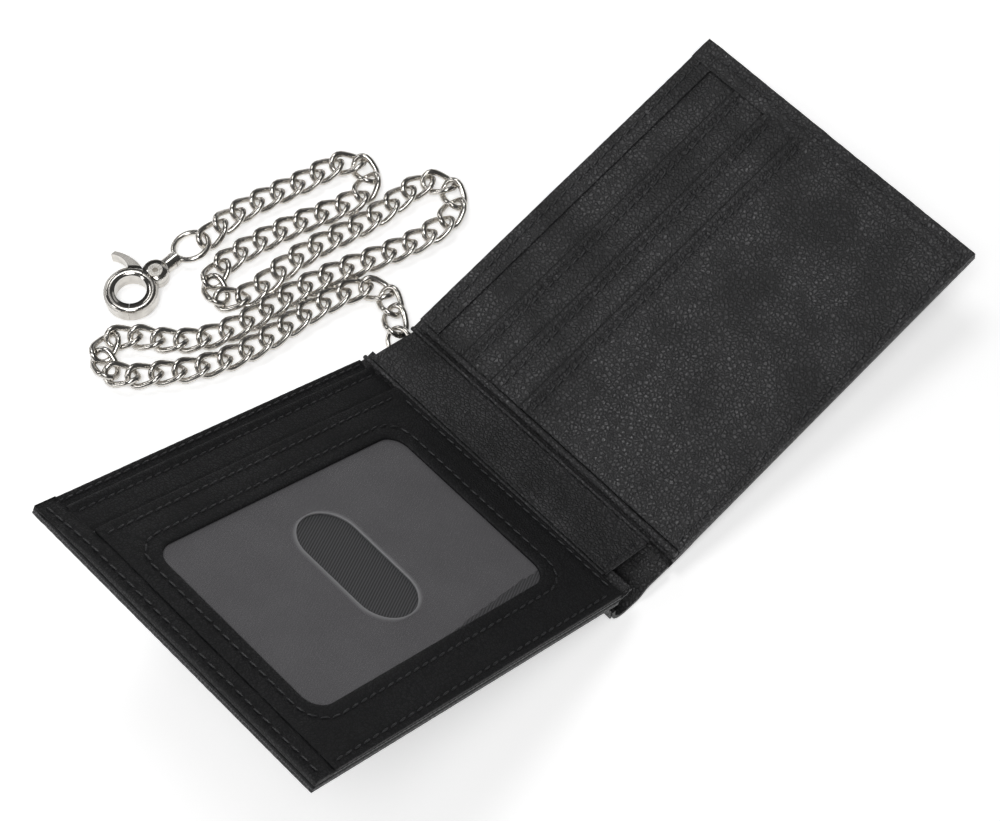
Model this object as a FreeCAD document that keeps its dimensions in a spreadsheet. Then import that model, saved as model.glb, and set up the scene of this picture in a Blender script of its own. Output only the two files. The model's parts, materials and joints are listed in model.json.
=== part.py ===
"""Bifold chain wallet, open on a table: leather leaves, spine, curb chain and swivel snap.

Frame: +X along the open wallet (the left leaf is at -X), +Y towards the mouths of the
pockets, +Z up.  The origin is the middle of the wallet's footprint, on the table.
Lengths are millimetres and angles are degrees.
"""
import FreeCAD, Part
import math
import os
import re

from FreeCAD import Placement, Rotation, Vector

SIZES = {
    # leaves and their seams
    "leaf_width": 108.0, "leaf_height": 90.0, "left_tilt": 29.4, "right_tilt": 9.9,
    "seam_span": 15.5, "left_seam_rise": 12.0, "right_seam_rise": 6.6, "fold_clear": 0.8,
    # thickness of each layer
    "shell_thick": 1.0, "lining_thick": 0.3, "left_board_thick": 0.7,
    "right_board_thick": 0.9, "pocket_thick": 0.6, "twill_thick": 0.3,
    "pane_thick": 0.3, "frame_thick": 0.8,
    # pockets and hems; an edge is a height above the leaf's bottom edge
    "left_slot_edge": 86.5, "frame_edge": 77.5, "right_slot_edge": 75.0,
    "slot_step": 10.3, "hem_width": 6.0, "hem_rise": 0.5, "piping_rad": 1.2,
    # identity window
    "window_width": 80.5, "window_depth": 52.5, "window_corner": 5.0,
    "window_bottom": 13.7, "window_inset": 13.5, "pane_margin": 4.0,
    "thumb_length": 34.0, "thumb_width": 16.5,
    # spine strip, and the shell's bulge under it
    "strip_thick": 0.8, "strip_bottom": 7.0, "mouth_setback": 1.8,
    "bulge_reach": 3.6, "bulge_wall": 1.6, "bulge_rad": 4.5, "bulge_flat": 2.9,
    "rise_rad": 4.0, "rise_turn": 45.0, "spine_slope": 5.0, "spine_end_clear": 0.35,
    # eyelet and jump ring; the ring's centre lies off the right seam and the mouth's edge
    "ring_setback": 3.7376, "ring_standoff": 0.4,
    "eyelet_bore": 2.3, "eyelet_wall": 0.15, "eyelet_flange": 0.3, "eyelet_lip": 0.25,
    "ring_rad": 3.2, "ring_wire": 0.65, "ring_lean": 46.0,
    # chain links; a wire size is a radius
    "link_inner": 6.8, "link_slack": 0.85, "link_width": 7.0, "link_wire": 0.85,
    "link_roll": 45.0, "link_rest": 0.1,
    # swivel snap
    "hook_rad": 7.0, "hook_bore": 4.1, "snap_thick": 4.2, "hook_round": 0.9,
    "lug_rad": 3.3, "lug_reach": 8.2, "lug_clear": 0.15, "split_gap": 0.12,
    "rivet_rad": 1.2, "rivet_bore": 0.7, "rivet_head_rad": 1.9, "rivet_head_thick": 0.3,
    "run_clear": 0.05, "face_clear": 0.1,
    "spring_rad": 1.7, "spring_wire": 0.22, "spring_room_rad": 2.2, "spring_room": 1.2,
    "tab_reach": 11.5, "tab_thick": 1.3,
    "neck_rad": 2.0, "neck_end": 13.7, "post_rad": 1.0, "post_head_rad": 1.45,
    "post_head_thick": 0.7, "post_head_start": 12.0, "washer_rad": 2.05,
    "washer_thick": 0.7, "boss_rad": 1.9,
    "eye_rad": 4.65, "eye_wire": 0.8, "eye_reach": 20.0, "eye_lean": 15.0,
}

HOOK_FROM_RING = Vector(-38.6, 57.6, 0)    # the snap's hook, from the jump ring's centre
FIRST_LINK_TURN = 42.0                     # where round the jump ring the chain hangs
LAST_LINK_TURN = -27.0                     # where round the snap's eye the chain hangs
TRIGGER_FROM, TRIGGER_TO = 20.0, 225.0     # the trigger's arc round the hook

# The chain's route over the table from the jump ring to the snap's eye, as the control
# points of one smooth curve through the middle of the links, measured from the jump ring's
# centre.  Its two ends are worked out from the rings.
ROUTE = [
    (5.1, 7.5), (7.9, 12.4), (5.1, 17.8), (-2.0, 20.4), (-10.5, 22.0), (-19.5, 22.9),
    (-28.5, 24.2), (-37.5, 27.2), (-45.0, 31.8), (-51.1, 36.6), (-56.7, 40.6),
    (-58.5, 46.2), (-55.1, 51.0), (-49.5, 51.0), (-45.5, 46.2), (-41.1, 39.8),
    (-34.1, 34.0), (-25.3, 30.8), (-16.1, 29.8), (-6.5, 28.2), (3.1, 25.4), (11.7, 21.8),
    (20.3, 18.8), (28.1, 16.8), (34.9, 16.8), (40.1, 19.6), (41.3, 25.0), (38.1, 29.8),
    (32.1, 30.6), (22.9, 30.4), (14.5, 31.8), (6.5, 34.2), (-1.9, 35.8), (-9.5, 36.0),
    (-16.9, 35.4), (-22.7, 37.4), (-24.9, 42.2), (-21.9, 46.8), (-16.1, 47.8), (-8.5, 46.6),
    (-0.5, 44.8), (7.5, 42.4), (15.1, 39.4), (21.1, 37.4), (26.9, 38.2), (29.9, 42.8),
    (28.3, 48.0), (23.1, 50.2), (16.5, 50.8), (10.1, 52.8), (3.1, 55.0), (-4.5, 56.6),
    (-10.5, 56.0),
]
START_LIFTS, END_LIFT = (1.2, 0.4), 1.3     # its end points are this much above the rest
RUN_COUNT = 5                              # the links are grouped in this many runs

X_AXIS, Y_AXIS, Z_AXIS = Vector(1, 0, 0), Vector(0, 1, 0), Vector(0, 0, 1)

doc = FreeCAD.newDocument("ChainWallet")
sheet = doc.addObject("Spreadsheet::Sheet", "Sizes")
for row, (alias, number) in enumerate(SIZES.items(), start=1):
    sheet.set(f"A{row}", alias)
    sheet.set(f"B{row}", str(number))
    sheet.setAlias(f"B{row}", alias)
doc.recompute()
reader = doc.addObject("App::FeaturePython", "Reader")
nodes = []


# ---- sizes and small helpers -------------------------------------------------------

def bind(expression):
    """The expression with each of the sheet's names made a reference to the sheet."""
    return re.sub(r"[a-z_]+", lambda m: f"Sizes.{m[0]}" if m[0] in SIZES else m[0],
                  expression)


def size(expression):
    """The value of an expression written in the sheet's names."""
    return float(reader.evalExpression(bind(expression)))


def move(x=0, y=0, z=0):
    """A placement that only moves; each distance is a number or an expression."""
    ways = [size(way) if isinstance(way, str) else way for way in (x, y, z)]
    return Placement(Vector(*ways), Rotation())


def node(thing, label, place=None):
    """Names a finished sub-part, and puts it in its place."""
    thing.Label = label
    if place is not None:
        thing.Placement = place * thing.Placement
    nodes.append(thing)
    return thing


def solid(kind, name, place=None, **sizes):
    """A Part primitive whose sizes are bound to the sheet."""
    thing = doc.addObject(f"Part::{kind}", name)
    if place is not None:
        thing.Placement = place
    for prop, expression in sizes.items():
        thing.setExpression(prop, bind(expression))
    return thing


def fuse(name, *things):
    """The union of several shapes."""
    thing = doc.addObject("Part::MultiFuse", name)
    thing.Shapes = list(things)
    thing.Refine = True
    return thing


def cut(name, base, *tools):
    """A shape with others taken away from it."""
    for number, tool in enumerate(tools):
        thing = doc.addObject("Part::Cut", f"{name}_{number}")
        thing.Base, thing.Tool = base, tool
        base = thing
    return base


def feature(name, shape):
    """A shape made in code, as an object of the document."""
    thing = doc.addObject("Part::Feature", name)
    thing.Shape = shape
    return thing


# ---- where the leaves lie ----------------------------------------------------------

LEFT_STACK = ("frame_thick + pane_thick + twill_thick + pocket_thick"
              " + left_board_thick + lining_thick + shell_thick")
RIGHT_STACK = "3 * pocket_thick + right_board_thick + lining_thick + shell_thick"

left_reach = size(f"leaf_width * cos(left_tilt) + ({LEFT_STACK}) * sin(left_tilt)")
right_reach = size(f"leaf_width * cos(right_tilt) + ({RIGHT_STACK}) * sin(right_tilt)")
left_seam_x = (left_reach - right_reach - size("seam_span")) / 2
left_seam = Vector(left_seam_x, 0, size("left_seam_rise"))
right_seam = Vector(left_seam_x + size("seam_span"), 0, size("right_seam_rise"))
front = -size("leaf_height") / 2
mouth = size("leaf_height") / 2
# The jump ring's centre, seen from above: the chain and the snap are placed from it.
ring_spot = Vector(right_seam.x - size("ring_setback"), mouth + size("ring_standoff"), 0)

left_outward = Vector(-size("cos(left_tilt)"), 0, size("sin(left_tilt)"))
left_corner = left_seam + left_outward * size("leaf_width") + Vector(0, front, 0)
# Each leaf is drawn flat: x along it, y up to its mouth, z = 0 on its inner face.
LEFT = Placement(left_corner, Rotation(Y_AXIS, size("left_tilt")))
RIGHT = Placement(right_seam + Vector(0, front, 0), Rotation(Y_AXIS, -size("right_tilt")))


def layer(label, leaf, top, thick, x="0", y="0", length="leaf_width", depth="leaf_height"):
    """A flat layer of a leaf: its top face is this far under the leaf's inner face."""
    place = leaf * move(x, y, f"-({top}) - ({thick})")
    return node(solid("Box", label, place, Length=length, Width=depth, Height=thick), label)


# ---- left leaf ---------------------------------------------------------------------

def rounded_rectangle(body, name, width, depth, corner, x, y):
    """A sketch of a rectangle with round corners, bound to the sheet by its constraints."""
    sketch = body.newObject("Sketcher::SketchObject", name)
    plane = next(f for f in body.Origin.OriginFeatures if f.Role == "XY_Plane")
    sketch.AttachmentSupport = [(plane, "")]
    sketch.MapMode = "FlatFace"
    long, deep, bend = size(width), size(depth), size(corner)
    left, low = size(x), size(y)
    right, high = left + long, low + deep
    sides = [((left + bend, low), (right - bend, low)), ((right, low + bend), (right, high - bend)),
             ((right - bend, high), (left + bend, high)), ((left, high - bend), (left, low + bend))]
    for start, end in sides:
        sketch.addGeometry(Part.LineSegment(Vector(*start, 0), Vector(*end, 0)), False)
    middles = [(right - bend, low + bend, -90), (right - bend, high - bend, 0),
               (left + bend, high - bend, 90), (left + bend, low + bend, 180)]
    for mid_x, mid_y, turn in middles:
        circle = Part.Circle(Vector(mid_x, mid_y, 0), Z_AXIS, bend)
        start, end = math.radians(turn), math.radians(turn + 90)
        sketch.addGeometry(Part.ArcOfCircle(circle, start, end), False)
    return sketch


def bound_rectangle(body, name, width, depth, corner, x, y):
    """The round-cornered rectangle with tangent corners and its five sizes as constraints."""
    import Sketcher
    sketch = rounded_rectangle(body, name, width, depth, corner, x, y)
    for side in range(4):
        sketch.addConstraint(Sketcher.Constraint("Tangent", side, 2, side + 4, 1))
        sketch.addConstraint(Sketcher.Constraint("Tangent", side + 4, 2, (side + 1) % 4, 1))
    for kind, side in (("Horizontal", 0), ("Vertical", 1), ("Horizontal", 2), ("Vertical", 3)):
        sketch.addConstraint(Sketcher.Constraint(kind, side))
    for corner_arc in (5, 6, 7):
        sketch.addConstraint(Sketcher.Constraint("Equal", 4, corner_arc))
    named = [("corner", Sketcher.Constraint("Radius", 4, size(corner)), corner),
             ("left", Sketcher.Constraint("DistanceX", -1, 1, 3, 1, size(x)), x),
             ("low", Sketcher.Constraint("DistanceY", -1, 1, 0, 1, size(y)), y),
             ("width", Sketcher.Constraint("DistanceX", 3, 1, 1, 1, size(width)), width),
             ("depth", Sketcher.Constraint("DistanceY", 0, 1, 2, 1, size(depth)), depth)]
    for title, constraint, expression in named:
        index = sketch.addConstraint(constraint)
        sketch.renameConstraint(index, title)
        sketch.setExpression(f"Constraints.{title}", bind(expression))
    return sketch


def pad(body, sketch, thick):
    """A pad of a sketch."""
    thing = body.newObject("PartDesign::Pad", f"{sketch.Name}Pad")
    thing.Profile = sketch
    thing.setExpression("Length", bind(thick))
    return thing


def pocket(body, sketch, thick):
    """A pocket of a sketch, cut up through a pad that stands on the same plane."""
    thing = body.newObject("PartDesign::Pocket", f"{sketch.Name}Cut")
    thing.Profile = sketch
    thing.Reversed = True
    thing.setExpression("Length", bind(thick))
    return thing


WINDOW_X = "leaf_width - window_inset - window_width"
PANE_X = f"{WINDOW_X} - pane_margin"
THUMB_X = f"{WINDOW_X} + (window_width - thumb_width) / 2"
THUMB_Y = "window_bottom + (window_depth - thumb_length) / 2"
CORNER = "fold_clear"


def window_panel(label, top, thick, outer, hole):
    """A flat panel of the left leaf with one opening, made as a padded and cut sketch."""
    body = doc.addObject("PartDesign::Body", label)
    pad(body, bound_rectangle(body, f"{label}_outline", *outer), thick)
    pocket(body, bound_rectangle(body, f"{label}_opening", *hole), thick)
    return node(body, label, LEFT * move(0, 0, f"-({top}) - ({thick})"))


def left_leaf():
    """The leaf with the identity window: seven layers and the hem on its outer end."""
    inner = dict(x="hem_width", length="leaf_width - hem_width - fold_clear")
    full = dict(length="leaf_width - fold_clear")
    window = ("window_width", "window_depth", "window_corner", WINDOW_X, "window_bottom")
    frame = ("leaf_width - hem_width - fold_clear", "frame_edge - 0.1", CORNER,
             "hem_width", "0.1")
    pane = ("window_width + 2 * pane_margin", "window_depth + 2 * pane_margin",
            "window_corner", PANE_X, "window_bottom - pane_margin")
    thumb = ("thumb_width", "thumb_length", "thumb_width / 2.0001", THUMB_X, THUMB_Y)
    window_panel("id_window_frame", "0", "frame_thick", frame, window)
    window_panel("id_window_pane", "frame_thick", "pane_thick", pane, thumb)
    depth = "frame_thick + pane_thick"
    layer("id_pocket_lining", LEFT, depth, "twill_thick", depth="frame_edge", **inner)
    depth += " + twill_thick"
    layer("left_card_pocket", LEFT, depth, "pocket_thick", depth="left_slot_edge", **inner)
    depth += " + pocket_thick"
    layer("left_hem", LEFT, f"{depth} - pocket_thick - hem_rise",
          "pocket_thick + hem_rise", length="hem_width")
    layer("left_backing", LEFT, depth, "left_board_thick", **full)
    depth += " + left_board_thick"
    layer("bill_lining_left", LEFT, depth, "lining_thick", **full)
    layer("outer_shell_left", LEFT, f"{depth} + lining_thick", "shell_thick", **full)


# ---- right leaf --------------------------------------------------------------------

def right_leaf():
    """The leaf with three card pockets, a rolled edge along the spine and a hem."""
    welt = "fold_clear + 2 * piping_rad"
    inner = dict(x=welt, length=f"leaf_width - hem_width - ({welt})")
    full = dict(x="fold_clear", length="leaf_width - fold_clear")
    for number in range(3):
        layer(f"right_card_pocket_{number + 1}", RIGHT, f"{2 - number} * pocket_thick",
              "pocket_thick", depth=f"right_slot_edge - {number} * slot_step", **inner)
    board = "3 * pocket_thick"
    layer("right_backing", RIGHT, board, "right_board_thick", **full)
    layer("bill_lining_right", RIGHT, f"{board} + right_board_thick", "lining_thick", **full)
    layer("outer_shell_right", RIGHT, f"{board} + right_board_thick + lining_thick",
          "shell_thick", **full)
    side = solid("Box", "HemSide", move("leaf_width - hem_width", 0, f"-({board})"),
                 Length="hem_width", Width="leaf_height", Height="2 * pocket_thick")
    top = solid("Box", "HemTop", move(welt, "leaf_height - hem_width", f"-({board})"),
                Length=f"leaf_width - ({welt})", Width="hem_width", Height="pocket_thick")
    node(fuse("RightHem", side, top), "right_hem", RIGHT)
    roll = Placement(Vector(size("fold_clear + piping_rad"), 0, size(f"piping_rad - {board}")),
                     Rotation(X_AXIS, -90))
    rod = solid("Cylinder", "Piping", roll, Radius="piping_rad",
                Height="leaf_height - mouth_setback")
    node(rod, "right_edge_piping", RIGHT)


# ---- spine -------------------------------------------------------------------------

def ribbon(start, heading, moves, thick):
    """A face of even thickness along straight runs and tangent arcs in the XZ plane.

    A move is (length,) for a straight run or (radius, turn) for an arc.
    Returns the face, and the point and heading at its far end.
    """
    point, angle = Vector(start), math.radians(heading)
    sides = {1: [], -1: []}

    def beside(where, direction, side):
        return where + Vector(-math.sin(direction), 0, math.cos(direction)) * (side * thick / 2)

    for step in moves:
        before = (point, angle)
        if len(step) == 1:
            point = point + Vector(math.cos(angle), 0, math.sin(angle)) * step[0]
            middle = None
        else:
            radius, turn = step[0], math.radians(step[1])
            bend = math.copysign(1, turn)
            centre = beside(point, angle, 2 * bend * radius / thick)
            spots = []
            for part in (0.5, 1.0):
                way = angle + turn * part
                spots.append((centre + Vector(math.sin(way), 0, -math.cos(way)) * (bend * radius), way))
            middle, (point, angle) = spots
        for side, edges in sides.items():
            first, last = beside(*before, side), beside(point, angle, side)
            if middle is None:
                edges.append(Part.LineSegment(first, last).toShape())
            else:
                edges.append(Part.Arc(first, beside(*middle, side), last).toShape())
    ends = [Part.LineSegment(sides[1][at].Vertexes[at].Point, sides[-1][at].Vertexes[at].Point)
            for at in (0, -1)]
    edges = sides[1] + sides[-1] + [end.toShape() for end in ends]
    return Part.Face(Part.Wire(Part.__sortEdges__(edges))), point, math.degrees(angle)


def spine_shell():
    """The outer shell's fold: a bulge under the left seam that rises to the right leaf."""
    half = size("shell_thick / 2")
    start = Vector(left_seam.x - size("bulge_reach"), front, half + size("bulge_rad + bulge_wall"))
    rise, back = size("rise_turn"), size("rise_turn - spine_slope")
    moves = [(size("bulge_wall"),), (size("bulge_rad"), 90.0), (size("bulge_flat"),),
             (size("rise_rad"), rise), (size("rise_rad"), -back)]
    _, foot, slope = ribbon(start, -90, moves, 2 * half)
    run = (right_seam.x - size("spine_end_clear") - foot.x) / math.cos(math.radians(slope))
    face, _, _ = ribbon(start, -90, moves + [(run,)], 2 * half)
    shell = feature("ShellFold", face.extrude(Vector(0, size("leaf_height"), 0)))
    across = ring_spot.x - foot.x
    seat = Vector(ring_spot.x, ring_spot.y - size("ring_rad"),
                  foot.z + across * math.tan(math.radians(slope)))
    return shell, Placement(seat, Rotation(Y_AXIS, -slope))


def ring_of(name, outer, inner, thick, place):
    """A flat ring or a short tube that stands on its placement's XY plane."""
    disc = solid("Cylinder", f"{name}Disc", place, Radius=outer, Height=thick)
    bore = solid("Cylinder", f"{name}Bore", place, Radius=inner, Height=thick)
    return cut(name, disc, bore)


def spine():
    """The shell's fold with its eyelet, the strip between the leaves and its lining."""
    shell, seat = spine_shell()
    hole = solid("Cylinder", "EyeletHole", seat * move(0, 0, "-shell_thick"),
                 Radius="eyelet_bore + eyelet_wall", Height="2 * shell_thick")
    node(cut("ShellSpine", shell, hole), "outer_shell_spine")
    barrel = ring_of("Barrel", "eyelet_bore + eyelet_wall", "eyelet_bore", "shell_thick",
                     seat * move(0, 0, "-shell_thick / 2"))
    flange = ring_of("Flange", "eyelet_bore + eyelet_wall + eyelet_flange", "eyelet_bore",
                     "eyelet_lip", seat * move(0, 0, "shell_thick / 2"))
    node(fuse("Eyelet", barrel, flange), "eyelet")
    node(ring_of("EyeletWasher", "eyelet_bore + eyelet_wall + eyelet_flange", "eyelet_bore",
                 "eyelet_lip", seat * move(0, 0, "-shell_thick / 2 - eyelet_lip")),
         "eyelet_washer")
    fall = math.degrees(math.atan2(left_seam.z - right_seam.z, size("seam_span")))
    spine_place = Placement(left_seam + Vector(0, front, 0), Rotation(Y_AXIS, fall))
    strip_length = "sqrt(seam_span ^ 2 + (left_seam_rise - right_seam_rise) ^ 2) - 2 * fold_clear"
    across = dict(x="fold_clear", y="strip_bottom", length=strip_length,
                  depth="leaf_height - strip_bottom - mouth_setback")
    layer("spine_strip", spine_place, "0", "strip_thick", **across)
    layer("bill_lining_spine", spine_place, "strip_thick", "lining_thick", **across)
    return seat


# ---- chain -------------------------------------------------------------------------

def jump_ring(seat):
    """The ring through the eyelet's seat, and the point inside it where the chain hangs."""
    lean = Rotation(Y_AXIS, size("ring_lean"))
    centre = seat.Base + Vector(0, size("ring_rad"), 0)
    place = Placement(centre, lean * Rotation(Y_AXIS, 90))
    node(solid("Torus", "JumpRing", place, Radius1="ring_rad", Radius2="ring_wire"),
         "wallet_ring")
    turn = math.radians(FIRST_LINK_TURN)
    outward = Vector(0, math.cos(turn), 0) + lean.multVec(Z_AXIS) * math.sin(turn)
    return centre + outward * size("ring_rad - ring_wire")


def link_solid():
    """One link: a round wire along a stadium that lies in the XY plane."""
    bend = size("(link_width - 2 * link_wire) / 2")
    straight = size("link_inner / 2 + link_wire") - bend
    corners = [Vector(straight, -bend, 0), Vector(straight, bend, 0),
               Vector(-straight, bend, 0), Vector(-straight, -bend, 0)]
    tips = [Vector(straight + bend, 0, 0), Vector(-straight - bend, 0, 0)]
    path = Part.Wire([
        Part.Arc(corners[0], tips[0], corners[1]).toShape(),
        Part.LineSegment(corners[1], corners[2]).toShape(),
        Part.Arc(corners[2], tips[1], corners[3]).toShape(),
        Part.LineSegment(corners[3], corners[0]).toShape()])
    section = Part.Wire(Part.Circle(corners[0], X_AXIS, size("link_wire")).toShape())
    return Part.Solid(path.makePipeShell([section], True, False).childShapes()[0])


def joints_along(curve, pitch, count):
    """Points along the curve, each at a straight distance of one pitch from the last."""
    points, at = [curve.StartPoint], curve.FirstParameter
    for _ in range(count):
        low, high = at, min(curve.LastParameter, at + 2)
        for _ in range(40):
            middle = (low + high) / 2
            near = (curve.value(middle) - points[-1]).Length < pitch
            low, high = (middle, high) if near else (low, middle)
        at = low
        points.append(curve.value(at))
    return points, at


def chain_joints(start, end):
    """Where each link meets the next: an even pitch, with slack for the bends."""
    level = size("(link_width / 2 - link_wire) * sin(link_roll) + link_wire + link_rest")
    lifts = START_LIFTS + (0,) * (len(ROUTE) - len(START_LIFTS) - 1) + (END_LIFT,)
    poles = [ring_spot + Vector(x, y, level + lift) for (x, y), lift in zip(ROUTE, lifts)]
    poles = [start] + poles + [end]
    knots = list(range(len(poles) - 1))
    curve = Part.BSplineCurve()
    curve.buildFromPolesMultsKnots(poles, [3] + [1] * (len(knots) - 2) + [3], knots, False, 2)
    longest = size("link_inner - link_slack")
    count = math.ceil(curve.length() / longest)
    low, high = 0.9 * longest, longest
    for _ in range(40):
        pitch = (low + high) / 2
        points, at = joints_along(curve, pitch, count)
        short = at < curve.LastParameter - 1e-6
        low, high = (pitch, high) if short else (low, pitch)
    print(f"chain: {count} links, pitch {pitch:.3f}, route {curve.length():.1f} mm")
    return points


def chain(start, end):
    """The links, in runs: each lies along its stretch, rolled against its neighbours."""
    link = link_solid()
    points = chain_joints(start, end)
    links = []
    for number, (near, far) in enumerate(zip(points, points[1:])):
        along = (far - near).normalize()
        level = Z_AXIS.cross(along).normalize()
        turn = Rotation(along, level, along.cross(level), "XYZ")
        roll = size("link_roll") * (-1 if number % 2 else 1)
        copy = link.copy()
        copy.Placement = Placement((near + far) / 2, turn * Rotation(X_AXIS, roll))
        links.append(copy)
    per_run = math.ceil(len(links) / RUN_COUNT)
    for run in range(RUN_COUNT):
        some = links[run * per_run:(run + 1) * per_run]
        node(feature(f"Run{run + 1}", Part.makeCompound(some)), f"chain_run_{run + 1}")


# ---- swivel snap, drawn with its hook's centre at the origin -------------------------

RIVET = move("lug_reach")
AXIS_UP = "snap_thick / 2"


def hook_arc(name, start, end):
    """Part of the hook's ring, with its long edges rounded."""
    gap = math.degrees(size("split_gap / 2 / hook_rad"))
    place = Placement(Vector(), Rotation(Z_AXIS, start + gap))
    outer = solid("Cylinder", f"{name}Outer", place, Radius="hook_rad", Height="snap_thick")
    outer.Angle = end - start - 2 * gap
    bore = solid("Cylinder", f"{name}Bore", Radius="hook_bore", Height="snap_thick")
    arc = cut(f"{name}Arc", outer, bore)
    doc.recompute()
    rounding = doc.addObject("Part::Fillet", f"{name}Round")
    rounding.Base = arc
    soft = size("hook_round")
    rounding.Edges = [(index, soft, soft) for index, edge in enumerate(arc.Shape.Edges, 1)
                      if isinstance(edge.Curve, Part.Circle)
                      and abs(edge.Curve.Radius - size("hook_rad")) < 0.01]
    return rounding


def lap(name, low, high, radius):
    """A disc round the rivet between two heights: a lug, or the room for one."""
    return solid("Cylinder", name, RIVET * move(0, 0, low), Radius=radius,
                 Height=f"({high}) - ({low})")


LAP = "snap_thick / 2"
LUG_LOW = "rivet_head_thick"
LUG_HIGH = "snap_thick - rivet_head_thick - run_clear"


def thumb_tab():
    """The trigger's thumb tab: a curved fin from the hook's shoulder."""
    reach, thick = size("tab_reach"), size("tab_thick")
    root = size("hook_rad") - size("hook_round")
    inner = [Vector(3.4, root * 0.8, 0), Vector(4.6, reach * 0.72, 0), Vector(3.3, reach, 0)]
    outer = [Vector(3.3 + thick, reach, 0), Vector(4.8 + thick, reach * 0.72, 0),
             Vector(5.0 + thick, root * 0.45, 0)]
    edges = [Part.Arc(*inner), Part.LineSegment(inner[-1], outer[0]), Part.Arc(*outer),
             Part.LineSegment(outer[-1], inner[0])]
    face = Part.Face(Part.Wire([edge.toShape() for edge in edges]))
    fin = face.extrude(Vector(0, 0, size("snap_thick - 2 * rivet_head_thick")))
    fin.translate(Vector(0, 0, size("rivet_head_thick")))
    return feature("ThumbTab", fin)


def trigger(place):
    """The trigger: most of the hook's ring, the upper lug and the thumb tab."""
    arc = hook_arc("Trigger", TRIGGER_FROM, TRIGGER_TO)
    lug = lap("TriggerLug", f"{LAP} + face_clear / 2", LUG_HIGH, "lug_rad")
    whole = fuse("TriggerWhole", arc, lug, thumb_tab())
    room = lap("TriggerRoom", "-1", f"{LAP} + face_clear / 2", "lug_rad + lug_clear")
    head = lap("TriggerHeadRoom", LUG_HIGH, "snap_thick + 1", "rivet_head_rad + lug_clear")
    bore = lap("TriggerBore", "-1", "snap_thick + 1", "rivet_rad + run_clear")
    node(cut("Trigger", whole, room, head, bore), "trigger_lever", place)


def snap(place):
    """The snap's fixed body: the rest of the hook, the lower lug, and the swivel's neck."""
    level = Rotation(Y_AXIS, 90)
    arc = hook_arc("Body", TRIGGER_TO - 360, TRIGGER_FROM)
    lug = lap("BodyLug", LUG_LOW, f"{LAP} - face_clear / 2", "lug_rad")
    neck_from = Placement(Vector(size("lug_reach"), 0, size(AXIS_UP)), level)
    neck = solid("Cylinder", "Neck", neck_from, Radius="neck_rad",
                 Height="neck_end - lug_reach")
    whole = fuse("BodyWhole", arc, lug, neck)
    room = lap("BodyRoom", f"{LAP} - face_clear / 2", "snap_thick + 1", "lug_rad + lug_clear")
    foot = lap("BodyHeadRoom", "-1", LUG_LOW, "rivet_head_rad")
    bore = lap("BodyBore", "-1", "snap_thick + 1", "rivet_rad")
    coil_room = lap("SpringRoom", f"{LAP} - spring_room", LAP, "spring_room_rad")
    post_from = Placement(Vector(size("post_head_start"), 0, size(AXIS_UP)), level)
    post_room = solid("Cylinder", "PostRoom", post_from, Radius="post_rad + run_clear",
                      Height="neck_end - post_head_start + 1")
    head_from = post_from * move(0, 0, "-face_clear")
    head_room = solid("Cylinder", "PostHeadRoom", head_from,
                      Radius="post_head_rad + run_clear",
                      Height="post_head_thick + 2 * face_clear")
    node(cut("Snap", whole, room, foot, bore, coil_room, post_room, head_room),
         "snap_body", place)


def rivet_and_spring(place):
    """The tubular rivet that the trigger turns on, and the coil spring round it."""
    shank = lap("Shank", "0", "snap_thick", "rivet_rad")
    foot = lap("RivetFoot", "0", "rivet_head_thick", "rivet_head_rad")
    head = lap("RivetHead", "snap_thick - rivet_head_thick", "snap_thick", "rivet_head_rad")
    bore = lap("RivetBore", "0", "snap_thick", "rivet_bore")
    node(cut("Rivet", fuse("RivetWhole", shank, foot, head), bore), "trigger_rivet", place)
    wire, radius = size("spring_wire"), size("spring_rad")
    room = size("spring_room - face_clear") - 2 * wire
    coil = Part.Wire(Part.makeHelix(room / 1.5, room, radius))
    section = Part.Wire(Part.Circle(Vector(radius, 0, 0), Y_AXIS, wire).toShape())
    shape = Part.Solid(coil.makePipeShell([section], True, True).childShapes()[0])
    lift = size(f"{LAP} - spring_room") + wire
    coil_place = place * RIVET * move(0, 0, lift)
    node(feature("Spring", shape), "trigger_spring", coil_place)


def swivel_eye(place):
    """The swivel's round eye with its boss, washer face, post and peened head."""
    level = Rotation(Y_AXIS, 90)
    up = size(AXIS_UP)

    def rod(name, start, end, radius):
        where = Placement(Vector(size(start), 0, up), level)
        return solid("Cylinder", name, where, Radius=radius, Height=f"({end}) - ({start})")

    eye_place = Placement(Vector(size("eye_reach"), 0, up), Rotation(X_AXIS, -size("eye_lean")))
    eye = solid("Torus", "Eye", eye_place, Radius1="eye_rad", Radius2="eye_wire")
    seat = "neck_end + face_clear"
    boss = rod("Boss", f"{seat} + washer_thick", "eye_reach - eye_rad", "boss_rad")
    post = rod("Post", "post_head_start", f"{seat} + washer_thick + boss_rad / 2", "post_rad")
    head = rod("PostHead", "post_head_start", "post_head_start + post_head_thick",
               "post_head_rad")
    node(fuse("SwivelEye", eye, boss, post, head), "swivel_eye", place)
    disc = rod("Washer", seat, f"{seat} + washer_thick", "washer_rad")
    hole = rod("WasherHole", seat, f"{seat} + washer_thick", "post_rad")
    node(cut("SwivelWasher", disc, hole), "swivel_washer", place)
    turn = math.radians(LAST_LINK_TURN)
    hang = Vector(math.cos(turn), math.sin(turn), 0) * size("eye_rad - eye_wire")
    return place.multVec(eye_place.multVec(hang))


# ---- the whole wallet ---------------------------------------------------------------

left_leaf()
right_leaf()
chain_start = jump_ring(spine())
snap_place = Placement(ring_spot + HOOK_FROM_RING, Rotation())
chain_end = swivel_eye(snap_place)
chain(chain_start, chain_end)
trigger(snap_place)
snap(snap_place)
rivet_and_spring(snap_place)
doc.recompute()

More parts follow.
